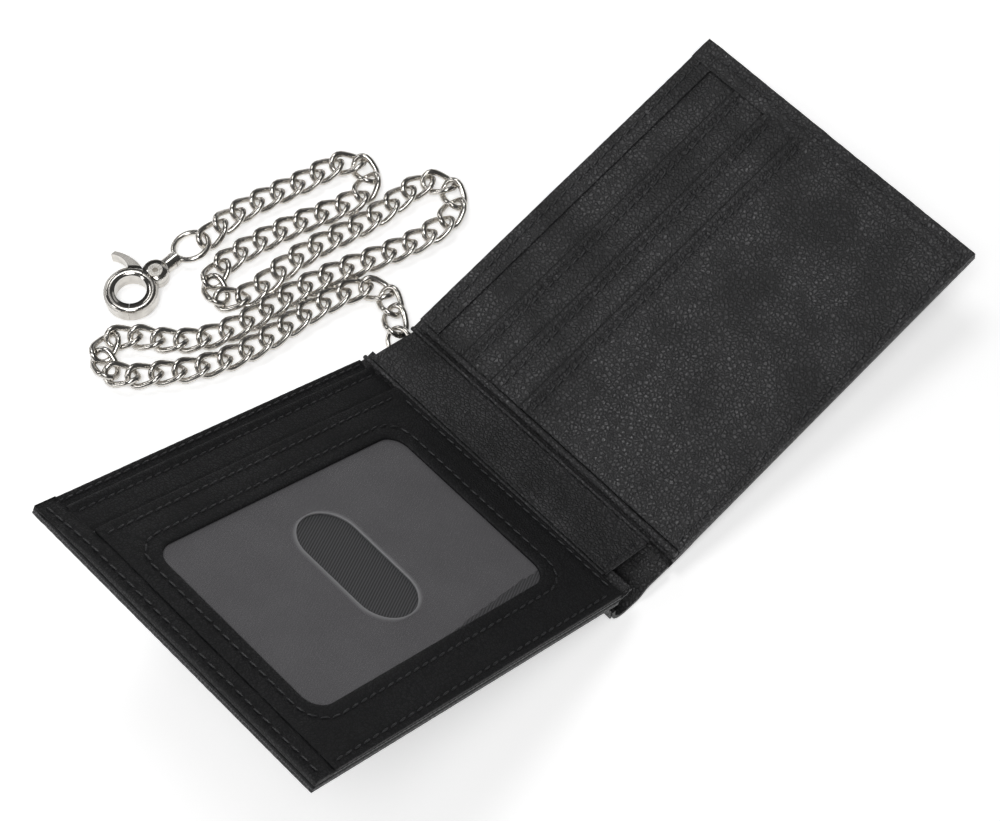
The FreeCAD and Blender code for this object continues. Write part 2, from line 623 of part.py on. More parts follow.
for thing in doc.Objects:
    if "Invalid" in thing.State or "Error" in thing.State:
        raise RuntimeError(f"{thing.Label}: {thing.State}")
for thing in nodes:
    if thing.Shape.isNull() or not thing.Shape.isValid() or not thing.Shape.Solids:
        raise RuntimeError(f"{thing.Label} has no valid solid")

os.makedirs("parts", exist_ok=True)
for thing in nodes:
    thing.Shape.exportStep(f"parts/{thing.Label}.step")
print(f"{len(nodes)} nodes written")
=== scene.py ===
"""The looks of an open leather chain wallet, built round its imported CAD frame.

Lengths in the classes are millimetres in the flat frame of a leaf (x along it, y towards the
mouths of the pockets, z out of its inner face) or in the row frame.  A mesh becomes metres
when it is placed.
"""
import json
import logging
import math
from dataclasses import dataclass
from enum import Enum
from functools import cached_property
from typing import Any, Callable, Sequence, Union

import bmesh
import bpy
from mathutils import Matrix, Vector, noise

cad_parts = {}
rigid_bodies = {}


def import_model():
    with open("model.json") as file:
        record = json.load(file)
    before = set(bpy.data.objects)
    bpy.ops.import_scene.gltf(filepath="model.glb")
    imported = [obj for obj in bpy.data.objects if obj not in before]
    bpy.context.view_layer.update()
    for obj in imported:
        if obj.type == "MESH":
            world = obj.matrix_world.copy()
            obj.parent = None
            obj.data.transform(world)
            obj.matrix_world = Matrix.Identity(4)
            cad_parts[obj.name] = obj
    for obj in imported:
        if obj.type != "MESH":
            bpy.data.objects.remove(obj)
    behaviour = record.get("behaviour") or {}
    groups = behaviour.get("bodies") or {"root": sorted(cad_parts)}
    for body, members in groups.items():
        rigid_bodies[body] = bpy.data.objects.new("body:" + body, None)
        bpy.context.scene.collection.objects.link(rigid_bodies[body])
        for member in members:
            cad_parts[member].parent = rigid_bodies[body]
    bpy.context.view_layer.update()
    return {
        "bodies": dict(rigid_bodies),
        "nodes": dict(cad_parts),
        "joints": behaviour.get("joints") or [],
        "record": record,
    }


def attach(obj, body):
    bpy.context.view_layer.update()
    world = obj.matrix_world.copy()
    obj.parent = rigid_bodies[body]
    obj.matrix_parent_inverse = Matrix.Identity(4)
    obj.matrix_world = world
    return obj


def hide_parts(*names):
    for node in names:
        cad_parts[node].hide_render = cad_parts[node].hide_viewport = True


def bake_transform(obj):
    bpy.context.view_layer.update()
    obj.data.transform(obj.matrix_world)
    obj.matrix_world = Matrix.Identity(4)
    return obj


LOG = logging.getLogger("chain_wallet")
MM = 0.001
LIP_HIGHLIGHT = "lip"                # the film's attribute that marks the rim of its thumb slot, where a highlight is painted
PAINTED_SHADE_MARK = "painted_shade_mark"        # a layer's attribute: distance behind the pocket edge on it, mm, by which the leather paints shade into the groove there
FAR = 50.0                 # what the painted-shade attribute holds on that edge, so 0 is nowhere
LAID = Matrix.Rotation(math.radians(-90), 4, "X")       # turns a Z axis along Y
UPRIGHT = Matrix.Rotation(math.radians(90), 4, "Y")     # turns a Z axis along X
STITCH_SLANT = 0.14        # how far a stitch turns off its row, radians
STITCH_REST = 0.12         # how far a stitch's middle lies over the leather, mm
NOWHERE = 1e3              # a line that no panel reaches, mm
Point = tuple[float, float]
Value = Union["Socket", float, int, tuple]


# ---- shaders -----------------------------------------------------------------------

@dataclass(frozen=True)
class Socket:
    """A shader socket that takes part in arithmetic with other sockets and numbers."""

    graph: "Graph"
    out: bpy.types.NodeSocket

    def maths(self, operation: str, *values: Value) -> "Socket":
        """Adds a Math node of this operation, with its inputs in order."""
        return self.graph.node("ShaderNodeMath", {"operation": operation},
                               dict(enumerate(values)))

    def __add__(self, other: Value) -> "Socket":
        """The sum of two values."""
        return self.maths("ADD", self, other)

    def __sub__(self, other: Value) -> "Socket":
        """The difference of two values."""
        return self.maths("SUBTRACT", self, other)

    def __rsub__(self, other: Value) -> "Socket":
        """A number less this value."""
        return self.maths("SUBTRACT", other, self)

    def __mul__(self, other: Value) -> "Socket":
        """The product of two values."""
        return self.maths("MULTIPLY", self, other)

    __radd__ = __add__
    __rmul__ = __mul__

    def ramp(self, low: float, high: float, start: float = 0.0, end: float = 1.0) -> "Socket":
        """A smooth step from start to end as this value goes from low to high.

        Args:
            low: the value at which the step starts.
            high: the value at which it ends.
            start: the result before the step.
            end: the result after it.

        Returns:
            The stepped value.
        """
        return self.graph.node(
            "ShaderNodeMapRange", {"interpolation_type": "SMOOTHSTEP"},
            {"Value": self, "From Min": low, "From Max": high, "To Min": start, "To Max": end})

    def split(self) -> list["Socket"]:
        """This vector's X and Y."""
        return [self.graph.node("ShaderNodeSeparateXYZ", {}, {"Vector": self}, axis)
                for axis in ("X", "Y")]

    def scaled(self, factor: Value) -> "Socket":
        """This vector times a number, or times a vector part by part.

        Args:
            factor: the number or vector.

        Returns:
            The scaled vector.
        """
        whole = factor if isinstance(factor, (tuple, Socket)) else (factor,) * 3
        return self.graph.node("ShaderNodeVectorMath", {"operation": "MULTIPLY"},
                               {0: self, 1: whole})

    def plus(self, other: "Socket") -> "Socket":
        """The sum of two vectors."""
        return self.graph.node("ShaderNodeVectorMath", {"operation": "ADD"},
                               {0: self, 1: other})


class Graph:
    """The node tree of one material, with its Principled shader ready."""

    def __init__(self, name: str) -> None:
        """Makes a material of this name with an empty surface.

        Args:
            name: the material's name.
        """
        self.material = bpy.data.materials.new(name)
        self.material.use_nodes = True
        self.tree = self.material.node_tree
        self.shader = self.tree.nodes["Principled BSDF"]

    def node(self, kind: str, settings: dict[str, Any], inputs: dict[Any, Value],
             output: Union[int, str] = 0) -> Socket:
        """Adds any node.

        Args:
            kind: the node's type.
            settings: its properties, which are set first.
            inputs: the values or links of its sockets, by name or number.
            output: which output is wanted.

        Returns:
            The wanted output.
        """
        made = self.tree.nodes.new(kind)
        for key, value in settings.items():
            setattr(made, key, value)
        for key, value in inputs.items():
            self.feed(made.inputs[key], value)
        return Socket(self, made.outputs[output])

    def feed(self, socket: bpy.types.NodeSocket, value: Value) -> None:
        """Links or sets one input socket.

        Args:
            socket: the input.
            value: a socket to link, or the value to set.
        """
        if isinstance(value, Socket):
            self.tree.links.new(value.out, socket)
        else:
            socket.default_value = value

    def place(self, scale: float = 1.0 / MM, turn: float = 0.0) -> Socket:
        """Coordinates in patterns per metre, turned about the row's Y axis by some degrees.

        Args:
            scale: how many units of a pattern lie in a metre.
            turn: the turn, in degrees.

        Returns:
            The coordinates.
        """
        return self.node("ShaderNodeMapping", {}, {
            "Vector": self.node("ShaderNodeTexCoord", {}, {}, "Object"),
            "Rotation": (0.0, math.radians(turn), 0.0), "Scale": (scale,) * 3})

    def noise(self, where: Socket, scale: float, detail: float = 3.0) -> Socket:
        """Fractal noise between 0 and 1."""
        return self.node("ShaderNodeTexNoise", {}, {
            "Vector": where, "Scale": scale, "Detail": detail})

    def blend(self, mask: Value, low: tuple, high: tuple) -> Socket:
        """A colour between two colours."""
        return self.node("ShaderNodeMix", {"data_type": "RGBA"},
                         {0: mask, 6: (*low, 1.0), 7: (*high, 1.0)}, 2)

    def finish(self, height: Socket, distance: float, strength: float = 1.0,
               **sockets: Value) -> bpy.types.Material:
        """Feeds the shader and its bump.

        Args:
            height: the surface's height, from 0 to 1.
            distance: what a height of 1 stands for, in metres.
            strength: how much of the bump is used.
            sockets: the shader's sockets, with _ for a space.

        Returns:
            The finished material.
        """
        bump = self.node("ShaderNodeBump", {}, {
            "Strength": strength, "Distance": distance, "Height": height})
        self.feed(self.shader.inputs["Normal"], bump)
        for name, value in sockets.items():
            whole = (*value, 1.0) if isinstance(value, tuple) and len(value) == 3 else value
            self.feed(self.shader.inputs[name.replace("_", " ")], whole)
        return self.material


@dataclass(frozen=True)
class Leather:
    """Black leather: pebbles parted by creases, pores, and patches of polish, with painted shade
    in the groove behind each pocket edge.
    """

    name: str
    pebble: float               # size of a pebble, mm
    depth: float                # depth of a crease, mm
    dark: tuple
    light: tuple
    polished: float             # roughness of the smoothest patch
    dull: float                 # roughness of the dullest patch
    specular: float = 0.5

    @cached_property
    def material(self) -> bpy.types.Material:
        """The material itself."""
        graph = Graph(self.name)
        where = graph.place()
        drift = graph.node("ShaderNodeTexNoise", {}, {
            "Vector": where, "Scale": 0.55, "Detail": 2.0}, "Color")
        bent = where.plus(drift.scaled(self.pebble * 0.5))
        cells, small = (graph.node("ShaderNodeTexVoronoi", {"feature": "DISTANCE_TO_EDGE"}, {
            "Vector": bent, "Scale": scale / self.pebble}) for scale in (1.0, 2.3))
        patch = graph.noise(where, 0.06, 3.0)
        pebbles = cells.ramp(0.03, 0.27)
        fine = small.ramp(0.0, 0.15)
        slow = graph.noise(where, 0.22)
        height = pebbles * 0.7 + fine * 0.22 + graph.noise(where, 3.4, 4.0) * 0.12 + slow * 0.8
        worn = patch.ramp(0.34, 0.62)
        # Painted shade: within about half a millimetre of a line 0.3 mm beyond each pocket edge
        # the crests are dropped, so the colour falls to the dark tone and the roughness to the
        # dullest.
        behind = graph.node("ShaderNodeAttribute", {"attribute_name": PAINTED_SHADE_MARK}, {}, "Fac")
        outside_painted_shade = (behind - FAR).maths("ABSOLUTE", behind - FAR).ramp(0.28, 0.55)
        crest = (pebbles * 0.7 + fine * 0.3) * outside_painted_shade
        colour = graph.blend(crest * (worn * 0.6 + 0.4), self.dark, self.light)
        roughness = self.dull - crest * (worn * 0.55 + 0.45) * (self.dull - self.polished)
        return graph.finish(height, self.depth * MM, 1.0, Base_Color=colour,
                            Roughness=roughness, Specular_IOR_Level=self.specular)


@dataclass(frozen=True)
class Twill:
    """Black lining cloth with a fine diagonal rib."""

    name: str
    rib: float = 0.62
    turn: float = -29.4
    slant: float = 65.0

    @cached_property
    def material(self) -> bpy.types.Material:
        """The material itself."""
        graph = Graph(self.name)
        where = graph.place(turn=self.turn)
        slanted = graph.node("ShaderNodeMapping", {}, {
            "Vector": where, "Rotation": (0.0, 0.0, math.radians(self.slant))})
        ribs = graph.node("ShaderNodeTexWave", {"bands_direction": "X"}, {
            "Vector": slanted, "Scale": 0.314 / self.rib, "Distortion": 0.5,
            "Detail": 2.0, "Detail Scale": 1.5})
        fuzz = graph.noise(where, 2.5, 4.0)
        colour = graph.blend(ribs * 0.8 + fuzz * 0.2, (0.003, 0.003, 0.004),
                             (0.085, 0.085, 0.09))
        return graph.finish(ribs + fuzz * 0.3, 0.08 * MM, 0.8, Base_Color=colour,
                            Roughness=0.62, Sheen_Weight=0.25, Sheen_Roughness=0.5)


@dataclass(frozen=True)
class Film:
    """Clear flexible film, slightly hazy, whose lower edge ends short at the spine, with a
    painted highlight round its thumb slot.
    """

    name: str
    short_end: float = -30.6    # the lower edge's mean height in the row frame, mm
    short_run: Point = (-66.0, -26.0)       # where along X it runs short, mm
    short_by: float = 3.0

    @cached_property
    def material(self) -> bpy.types.Material:
        """The material itself."""
        graph = Graph(self.name)
        where = graph.place()
        haze = graph.noise(where, 0.09, 4.0)
        wave = graph.noise(where, 0.05, 2.0)
        specks = graph.node("ShaderNodeTexVoronoi", {}, {"Vector": where, "Scale": 0.16})
        dust = specks.ramp(0.035, 0.015)
        lip = graph.node("ShaderNodeAttribute", {"attribute_name": LIP_HIGHLIGHT}, {}, "Fac")
        along, across = where.split()
        ragged = graph.noise(where, 0.45, 3.0) * 1.6 + across - self.short_end
        bare = (ragged - along.ramp(*self.short_run) * self.short_by).ramp(0.12, -0.12)
        # Painted highlight: the lip attribute makes the rim of the thumb slot lighter and more
        # opaque.
        colour = graph.blend(lip.ramp(0.25, 0.9) * 0.8 + dust * 0.5 + haze.ramp(0.3, 0.8) * 0.1,
                             (0.19, 0.185, 0.195), (0.38, 0.38, 0.39))
        alpha = (0.44 + haze * 0.08 + lip * 0.3) * (1.0 - bare * 0.85)
        return graph.finish(wave * 3.0, 0.06 * MM, 0.4, Base_Color=colour,
                            Roughness=haze * 0.10 + 0.34, Alpha=alpha,
                            Specular_IOR_Level=0.5)


@dataclass(frozen=True)
class Metal:
    """Plated metal with faint cloudiness, patches of darker tarnish and fine wipe marks."""

    name: str
    colour: tuple = (0.68, 0.655, 0.615)
    tarnish: tuple = (0.45, 0.43, 0.40)
    shine: float = 0.15
    crowns: tuple[tuple[float, float, float, float], ...] = ()   # x, y, radius, half width
    crown_high: float = 0.8     # how far a crowned face seems to bulge, mm

    def bulge(self, where: Socket) -> Socket:
        """The rounding of cast rings and bosses, 1 on their middle line and 0 beside it.

        Args:
            where: coordinates in millimetres of the row.

        Returns:
            The rounding, as a height.
        """
        right, up = where.split()
        high = right * 0.0
        for x, y, radius, half in self.crowns:
            across, along = right - x, up - y
            square = across * across + along * along
            away = square.maths("SQRT", square) - radius
            share = away * (1.0 / half)
            high = high.maths("MAXIMUM", high, 1.0 - share * share)
        return high

    @cached_property
    def material(self) -> bpy.types.Material:
        """The material itself."""
        graph = Graph(self.name)
        where = graph.place()
        cloud = graph.noise(where, 0.35, 4.0)
        wipe = graph.noise(where.scaled((0.4, 2.2, 3.0)), 2.0, 3.0)
        colour = graph.blend(cloud.ramp(0.62, 0.3) * 0.6, self.colour, self.tarnish)
        roughness = self.shine + cloud * 0.08 + wipe * 0.05
        height = (wipe + cloud) * (0.006 / self.crown_high) + self.bulge(where)
        return graph.finish(height, self.crown_high * MM, 1.0, Base_Color=colour,
                            Roughness=roughness, Metallic=1.0)


@dataclass(frozen=True)
class Thread:
    """Waxed black thread with the twist of its plies."""

    name: str

    @cached_property
    def material(self) -> bpy.types.Material:
        """The material itself."""
        graph = Graph(self.name)
        where = graph.place()
        plies = graph.node("ShaderNodeTexWave", {"bands_direction": "DIAGONAL"}, {
            "Vector": where, "Scale": 0.9, "Distortion": 0.4})
        colour = graph.blend(plies * 1.0, (0.008, 0.008, 0.009), (0.035, 0.035, 0.038))
        return graph.finish(plies, 0.05 * MM, 0.7, Base_Color=colour, Roughness=0.38,
                            Specular_IOR_Level=0.6)


@dataclass(frozen=True)
class Floor:
    """A plain pale table top."""

    name: str
    tone: float = 0.86
    glow: float = 0.56

    @cached_property
    def material(self) -> bpy.types.Material:
        """The material itself."""
        graph = Graph(self.name)
        fine = graph.noise(graph.place(40.0), 1.0)
        tone = graph.blend(fine * 1.0, (self.tone,) * 3, (self.tone + 0.02,) * 3)
        return graph.finish(fine, 0.00001, 0.2, Base_Color=tone, Roughness=0.6,
                            Specular_IOR_Level=0.2, Emission_Color=tone,
                            Emission_Strength=self.glow)


class Finish(Enum):
    """The finishes of the wallet's pieces."""

    PEBBLED = Leather("pebbled_leather", 1.0, 0.2, (0.003, 0.003, 0.0035),
                      (0.058, 0.057, 0.060), 0.27, 0.66, 0.6)
    MATTE = Leather("matte_leather", 0.85, 0.12, (0.003, 0.003, 0.0035),
                    (0.010, 0.010, 0.0115), 0.46, 0.70, 0.35)
    TWILL = Twill("lining_twill")
    FILM = Film("window_film")
    NICKEL = Metal("polished_nickel")
    CAST = Metal("cast_nickel", (0.66, 0.635, 0.595), (0.45, 0.43, 0.40), 0.09,
                 ((-40.1, 103.0, 5.55, 1.75), (-31.9, 103.0, 0.0, 3.1)), 1.1)
    STEEL = Metal("spring_steel", (0.5, 0.5, 0.5), (0.35, 0.35, 0.35), 0.25)
    THREAD = Thread("waxed_thread")
    FLOOR = Floor("pale_table")

    @property
    def material(self) -> bpy.types.Material:
        """The finish's material."""
        return self.value.material


# ---- frames and meshes ---------------------------------------------------------------

@dataclass(frozen=True)
class Leaf:
    """The flat frame of one leaf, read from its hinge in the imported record."""

    body: str
    joint: str
    tilt: float                 # turn about +Y, degrees
    width: float = 108.0
    height: float = 90.0
    hinge_depth: float = 0.6    # the hinge's depth under the inner face

    def matrix(self, shop: "Workshop") -> Matrix:
        """The transform from leaf millimetres to row metres.

        Args:
            shop: what knows where the joints are.

        Returns:
            The transform.
        """
        turn = Matrix.Rotation(math.radians(self.tilt), 4, "Y")
        start = self.width if self.tilt > 0 else 0.0
        return (Matrix.Translation(shop.joint(self.joint)) @ turn @ Matrix.Scale(MM, 4)
                @ Matrix.Translation((-start, -self.height / 2, self.hinge_depth)))


class Workshop:
    """Turns finished meshes into pieces that ride on the frame's bodies."""

    def __init__(self, frame: dict) -> None:
        self.frame = frame
        self.row = Matrix.Scale(MM, 4)

    def joint(self, name: str) -> Vector:
        """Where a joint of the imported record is, in metres."""
        return Vector(next(j for j in self.frame["joints"] if j["name"] == name)["pos_m"])

    def piece(self, name: str, bm: bmesh.types.BMesh, matrix: Matrix, finish: Finish,
              body: str, replaces: Sequence[str] = ()) -> bpy.types.Object:
        """Args:
            name: the piece's name.
            bm: its mesh, which is freed.
            matrix: from its own frame to row metres.
            finish: what it is made of.
            body: the CAD body that it rides on, or "" for none.
            replaces: the CAD nodes that it stands for.

        Returns:
            The new object.
        """
        bmesh.ops.transform(bm, matrix=matrix, verts=bm.verts)
        bmesh.ops.recalc_face_normals(bm, faces=bm.faces)
        for face in bm.faces:
            face.smooth = True
        mesh = bpy.data.meshes.new(name)
        bm.to_mesh(mesh)
        bm.free()
        made = bpy.data.objects.new(name, mesh)
        bpy.context.scene.collection.objects.link(made)
        mesh.materials.append(finish.material)
        if body:
            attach(made, body)
        if replaces:
            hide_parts(*replaces)
        LOG.info("%s: %d faces", name, len(mesh.polygons))
        return made

    def dress(self, node: str, finish: Finish) -> None:
        """Gives a CAD node that stays in view its finish.

        Args:
            node: the node's name.
            finish: its finish.
        """
        mesh = self.frame["nodes"][node].data
        mesh.materials.clear()
        mesh.materials.append(finish.material)


# ---- leather panels ------------------------------------------------------------------

def wander(x: float, y: float, scale: float, seed: float) -> float:
    """Smooth noise from about -1 to 1 over distances of one scale."""
    return noise.noise(Vector((x / scale, y / scale, seed)))


@dataclass(frozen=True)
class Seam:
    """A sewn row: a straight or cornered path with evenly spaced holes."""

    path: tuple[Point, ...]
    pitch: float = 3.0
    depth: float = 0.20
    pucker: float = 0.12

    def nearest(self, x: float, y: float) -> tuple[float, float]:
        """The distance from a point to the row, and how far along the row that is.

        Args:
            x: the point's place along the leaf.
            y: its place towards the mouths of the pockets.

        Returns:
            The distance and the length along the row, in millimetres.
        """
        best, where, run = 1e9, 0.0, 0.0
        for (ax, ay), (bx, by) in zip(self.path, self.path[1:]):
            dx, dy = bx - ax, by - ay
            long = math.hypot(dx, dy)
            share = min(1.0, max(0.0, ((x - ax) * dx + (y - ay) * dy) / (long * long)))
            away = math.hypot(x - ax - share * dx, y - ay - share * dy)
            if away < best:
                best, where = away, run + share * long
            run += long
        return best, where

    def relief(self, x: float, y: float) -> float:
        """How much the row lifts or dents the leather at a point.

        Args:
            x: the point's place along the leaf.
            y: its place towards the mouths of the pockets.

        Returns:
            The lift, in millimetres, below zero in a hole.
        """
        away, where = self.nearest(x, y)
        if away > 5.0:
            return 0.0
        hole = 0.6 + 0.4 * math.cos(math.tau * where / self.pitch)
        dent = -self.depth * hole * math.exp(-((away / 0.75) ** 2))
        bulge = self.pucker * math.exp(-(((away - 2.0) / 1.1) ** 2))
        return dent + bulge * (0.8 - 0.35 * math.cos(math.tau * where / self.pitch))

    def stitches(self) -> list[tuple[float, float, float]]:
        """The middle and heading of every stitch."""
        found, run = [], self.pitch / 2
        for (ax, ay), (bx, by) in zip(self.path, self.path[1:]):
            long, turn = math.hypot(bx - ax, by - ay), math.atan2(by - ay, bx - ax)
            while run < long:
                share = run / long
                found.append((ax + (bx - ax) * share, ay + (by - ay) * share, turn))
                run += self.pitch
            run -= long
        return found


@dataclass(frozen=True)
class Panel:
    """A flat layer of leather with turned edges, seams, and the slight waves of use."""

    name: str
    x: Point
    y: Point
    top: float                  # height of its upper face in the leaf's frame
    thick: float
    seams: tuple[Seam, ...] = ()
    waves: float = 0.22
    wrinkle: float = 0.05
    step: float = 0.9           # spacing of the mesh
    edge: float = 0.28          # rounding of its edges
    seed: float = 0.0
    rolls: tuple[float, ...] = ()     # lines of constant y where the edge is folded over
    creases: tuple[tuple[Point, Point, float], ...] = ()
    facing: int = 1             # 1 where the detailed face is the upper one, -1 the lower
    drag: float = 0.0           # depth of slanting wrinkles, as in stretched leather
    taper: tuple[float, float, float] = (NOWHERE, 2 * NOWHERE, 0.0)   # from, to, thinner by
    behind: float = NOWHERE     # the line of constant y where the pocket on it ends; shade is painted in the groove just beyond it

    def rest(self, x: float, y: float) -> float:
        """The height at which a stitch lies on the detailed face."""
        base = self.top if self.facing > 0 else self.top - self.thick
        return base + self.facing * (self.lift(x, y) + STITCH_REST)

    def lift(self, x: float, y: float) -> float:
        """The height of the detailed face above its flat shape at a point.

        Args:
            x: the point's place along the leaf.
            y: its place towards the mouths of the pockets.

        Returns:
            The height, in millimetres.
        """
        inside = min(x - self.x[0], self.x[1] - x, y - self.y[0], self.y[1] - y)
        calm = min(1.0, max(0.0, inside) / 4.0)
        high = self.waves * calm * wander(x, y, 26.0, self.seed)
        high += self.wrinkle * wander(x, y, 3.5, self.seed + 7)
        high += self.wrinkle * 1.4 * calm * wander(x * 0.6, y * 1.6, 8.0, self.seed + 13)
        high += self.drag * wander(x * 0.94 + y * 0.34, (y * 0.94 - x * 0.34) * 0.22, 1.5, 3.3)
        high += sum(seam.relief(x, y) for seam in self.seams)
        high += sum(0.34 * math.exp(-(((y - roll) / 0.75) ** 2))
                    - 0.16 * math.exp(-(((y - roll + 1.5) / 0.5) ** 2)) for roll in self.rolls)
        start, end, thinner = self.taper
        if y > start:
            high -= thinner * min(1.0, (y - start) / (end - start))
        for near, far, depth in self.creases:
            away, _ = Seam((near, far)).nearest(x, y)
            high -= depth * math.exp(-((away / 0.55) ** 2))
        return high

    def shape(self) -> bmesh.types.BMesh:
        """The panel's closed mesh, in the leaf's frame."""
        wide, deep = self.x[1] - self.x[0], self.y[1] - self.y[0]
        bm = bmesh.new()
        bmesh.ops.create_grid(bm, x_segments=max(2, round(wide / self.step)),
                              y_segments=max(2, round(deep / self.step)), size=0.5)
        bmesh.ops.scale(bm, vec=(wide, deep, 1.0), verts=bm.verts)
        bmesh.ops.translate(bm, vec=(sum(self.x) / 2, sum(self.y) / 2, 0), verts=bm.verts)
        rim = [edge for edge in bm.edges if edge.is_boundary]
        walls = bmesh.ops.extrude_edge_only(bm, edges=rim)["geom"]
        low = [vert for vert in walls if isinstance(vert, bmesh.types.BMVert)]
        bmesh.ops.translate(bm, vec=(0, 0, -self.thick * self.facing), verts=low)
        under = [edge for edge in walls if isinstance(edge, bmesh.types.BMEdge)
                 and edge.is_boundary]
        bmesh.ops.contextual_create(bm, geom=under)
        bmesh.ops.recalc_face_normals(bm, faces=bm.faces)
        for height in (0.0, -self.thick * self.facing):
            ring = [edge for edge in bm.edges
                    if all(abs(v.co.z - height) < 1e-6 for v in edge.verts)
                    and abs(edge.link_faces[0].normal.dot(edge.link_faces[1].normal)) < 0.5]
            bmesh.ops.bevel(bm, geom=ring, offset=self.edge, offset_type="OFFSET",
                            affect="EDGES", segments=3, profile=0.5, material=-1)
        # The attribute by which the leather paints shade into the groove 0.3 mm beyond the
        # pocket edge.
        mark = bm.verts.layers.float.new(PAINTED_SHADE_MARK)
        for vert in bm.verts:
            vert[mark] = vert.co.y - self.behind - 0.3 + FAR
            if vert.co.z * self.facing > -self.edge * 1.01:
                vert.co.z += self.facing * self.lift(vert.co.x, vert.co.y)
        base = self.top if self.facing > 0 else self.top - self.thick
        bmesh.ops.translate(bm, vec=(0, 0, base), verts=bm.verts)
        return bm


def gap(start: float, end: float, edge: float) -> tuple[tuple[Point, Point, float], ...]:
    """The groove in a layer just behind the edge of the pocket that lies on it."""
    return (((start, edge + 0.35), (end, edge + 0.35), 0.5),)


@dataclass(frozen=True)
class Opening:
    """A rectangle with round corners, as a closed loop with a fixed share per side."""

    x: Point
    y: Point
    corner: float
    per_side: int = 70
    per_corner: int = 10

    def spot(self, index: int) -> Vector:
        """The loop's point of this number, counted from the lower right side upwards.

        Args:
            index: the point's number.

        Returns:
            The point, at height 0.
        """
        side, step = divmod(index, self.per_side + self.per_corner)
        bend = self.corner
        ways = [(self.x[1], self.y[0] + bend, self.x[1], self.y[1] - bend),
                (self.x[1] - bend, self.y[1], self.x[0] + bend, self.y[1]),
                (self.x[0], self.y[1] - bend, self.x[0], self.y[0] + bend),
                (self.x[0] + bend, self.y[0], self.x[1] - bend, self.y[0])]
        ax, ay, bx, by = ways[side]
        if step <= self.per_side:
            share = step / self.per_side
            return Vector((ax + (bx - ax) * share, ay + (by - ay) * share, 0.0))
        turn = math.radians(90 * (side + (step - self.per_side) / self.per_corner))
        mid_x = self.x[1] - bend if side in (0, 3) else self.x[0] + bend
        mid_y = self.y[1] - bend if side in (0, 1) else self.y[0] + bend
        return Vector((mid_x + bend * math.cos(turn), mid_y + bend * math.sin(turn), 0.0))

    def loop(self, bm: bmesh.types.BMesh) -> list[bmesh.types.BMEdge]:
        """Adds the loop to a mesh and gives its edges.

        Args:
            bm: the mesh.

        Returns:
            The loop's edges.
        """
        count = 4 * (self.per_side + self.per_corner)
        verts = bmesh.ops.create_circle(bm, segments=count, radius=1.0)["verts"]
        for index, vert in enumerate(verts):
            vert.co = self.spot(index)
        return list({edge for vert in verts for edge in vert.link_edges})

    def away(self, x: float, y: float) -> float:
        """How far outside the rectangle a point is.

        Args:
            x: the point's place along the leaf.
            y: its place towards the mouths of the pockets.

        Returns:
            The distance, below zero inside.
        """
        across = abs(x - sum(self.x) / 2) - (self.x[1] - self.x[0]) / 2 + self.corner
        along = abs(y - sum(self.y) / 2) - (self.y[1] - self.y[0]) / 2 + self.corner
        return math.hypot(max(0.0, across), max(0.0, along)) - self.corner

    def outset(self, gap: float) -> tuple[Point, ...]:
        """The closed path that runs this far outside the rectangle.

        Args:
            gap: how far outside.

        Returns:
            The path's points, the first one repeated at the end.
        """
        bigger = Opening((self.x[0] - gap, self.x[1] + gap), (self.y[0] - gap, self.y[1] + gap),
                         self.corner + gap * 0.6, 1, 4)
        spots = [bigger.spot(index) for index in range(20)]
        return tuple((spot.x, spot.y) for spot in spots + spots[:1])


@dataclass(frozen=True)
class HoledPanel:
    """A panel with one opening: the leather round the window, or the film with its slot."""

    name: str
    outer: Opening
    inner: Opening
    top: float
    thick: float
    rings: int
    lift: Callable[[float, float], float]
    edge: float = 0.2
    near_rim: float = 0.55      # how far the lip, and the highlight painted on it, reaches from the opening

    def rest(self, x: float, y: float) -> float:
        """The height at which a stitch lies on the detailed face."""
        return self.top + self.lift(x, y) + STITCH_REST

    def rim(self, x: float, y: float) -> float:
        """How much a point belongs to the opening's lip, from 0 to 1: the film's painted
        highlight.
        """
        away = self.inner.away(x, y)
        return max(0.0, 1.0 - max(0.0, away) / self.near_rim)

    def shape(self) -> bmesh.types.BMesh:
        """The panel's closed mesh, in the leaf's frame."""
        bm = bmesh.new()
        inner, outer = self.inner.loop(bm), self.outer.loop(bm)
        made = bmesh.ops.bridge_loops(bm, edges=inner + outer)
        bmesh.ops.subdivide_edges(bm, edges=made["edges"], cuts=self.rings, use_grid_fill=True)
        flat = list(bm.faces)
        walls = bmesh.ops.extrude_face_region(bm, geom=flat)["geom"]
        upper = [vert for vert in walls if isinstance(vert, bmesh.types.BMVert)]
        bmesh.ops.translate(bm, vec=(0, 0, self.thick), verts=upper)
        bmesh.ops.recalc_face_normals(bm, faces=bm.faces)
        rim = [edge for edge in bm.edges if len(edge.link_faces) == 2
               and all(vert.co.z > self.thick / 2 for vert in edge.verts)
               and abs(edge.link_faces[0].normal.dot(edge.link_faces[1].normal)) < 0.5]
        bmesh.ops.bevel(bm, geom=rim, offset=self.edge, offset_type="OFFSET",
                        affect="EDGES", segments=2, profile=0.5, material=-1)
        mark = bm.verts.layers.float.new(LIP_HIGHLIGHT)
        for vert in bm.verts:
            vert[mark] = self.rim(vert.co.x, vert.co.y)
            if vert.co.z > self.thick - self.edge * 1.01:
                vert.co.z += self.lift(vert.co.x, vert.co.y)
        bmesh.ops.translate(bm, vec=(0, 0, self.top - self.thick), verts=bm.verts)
        return bm


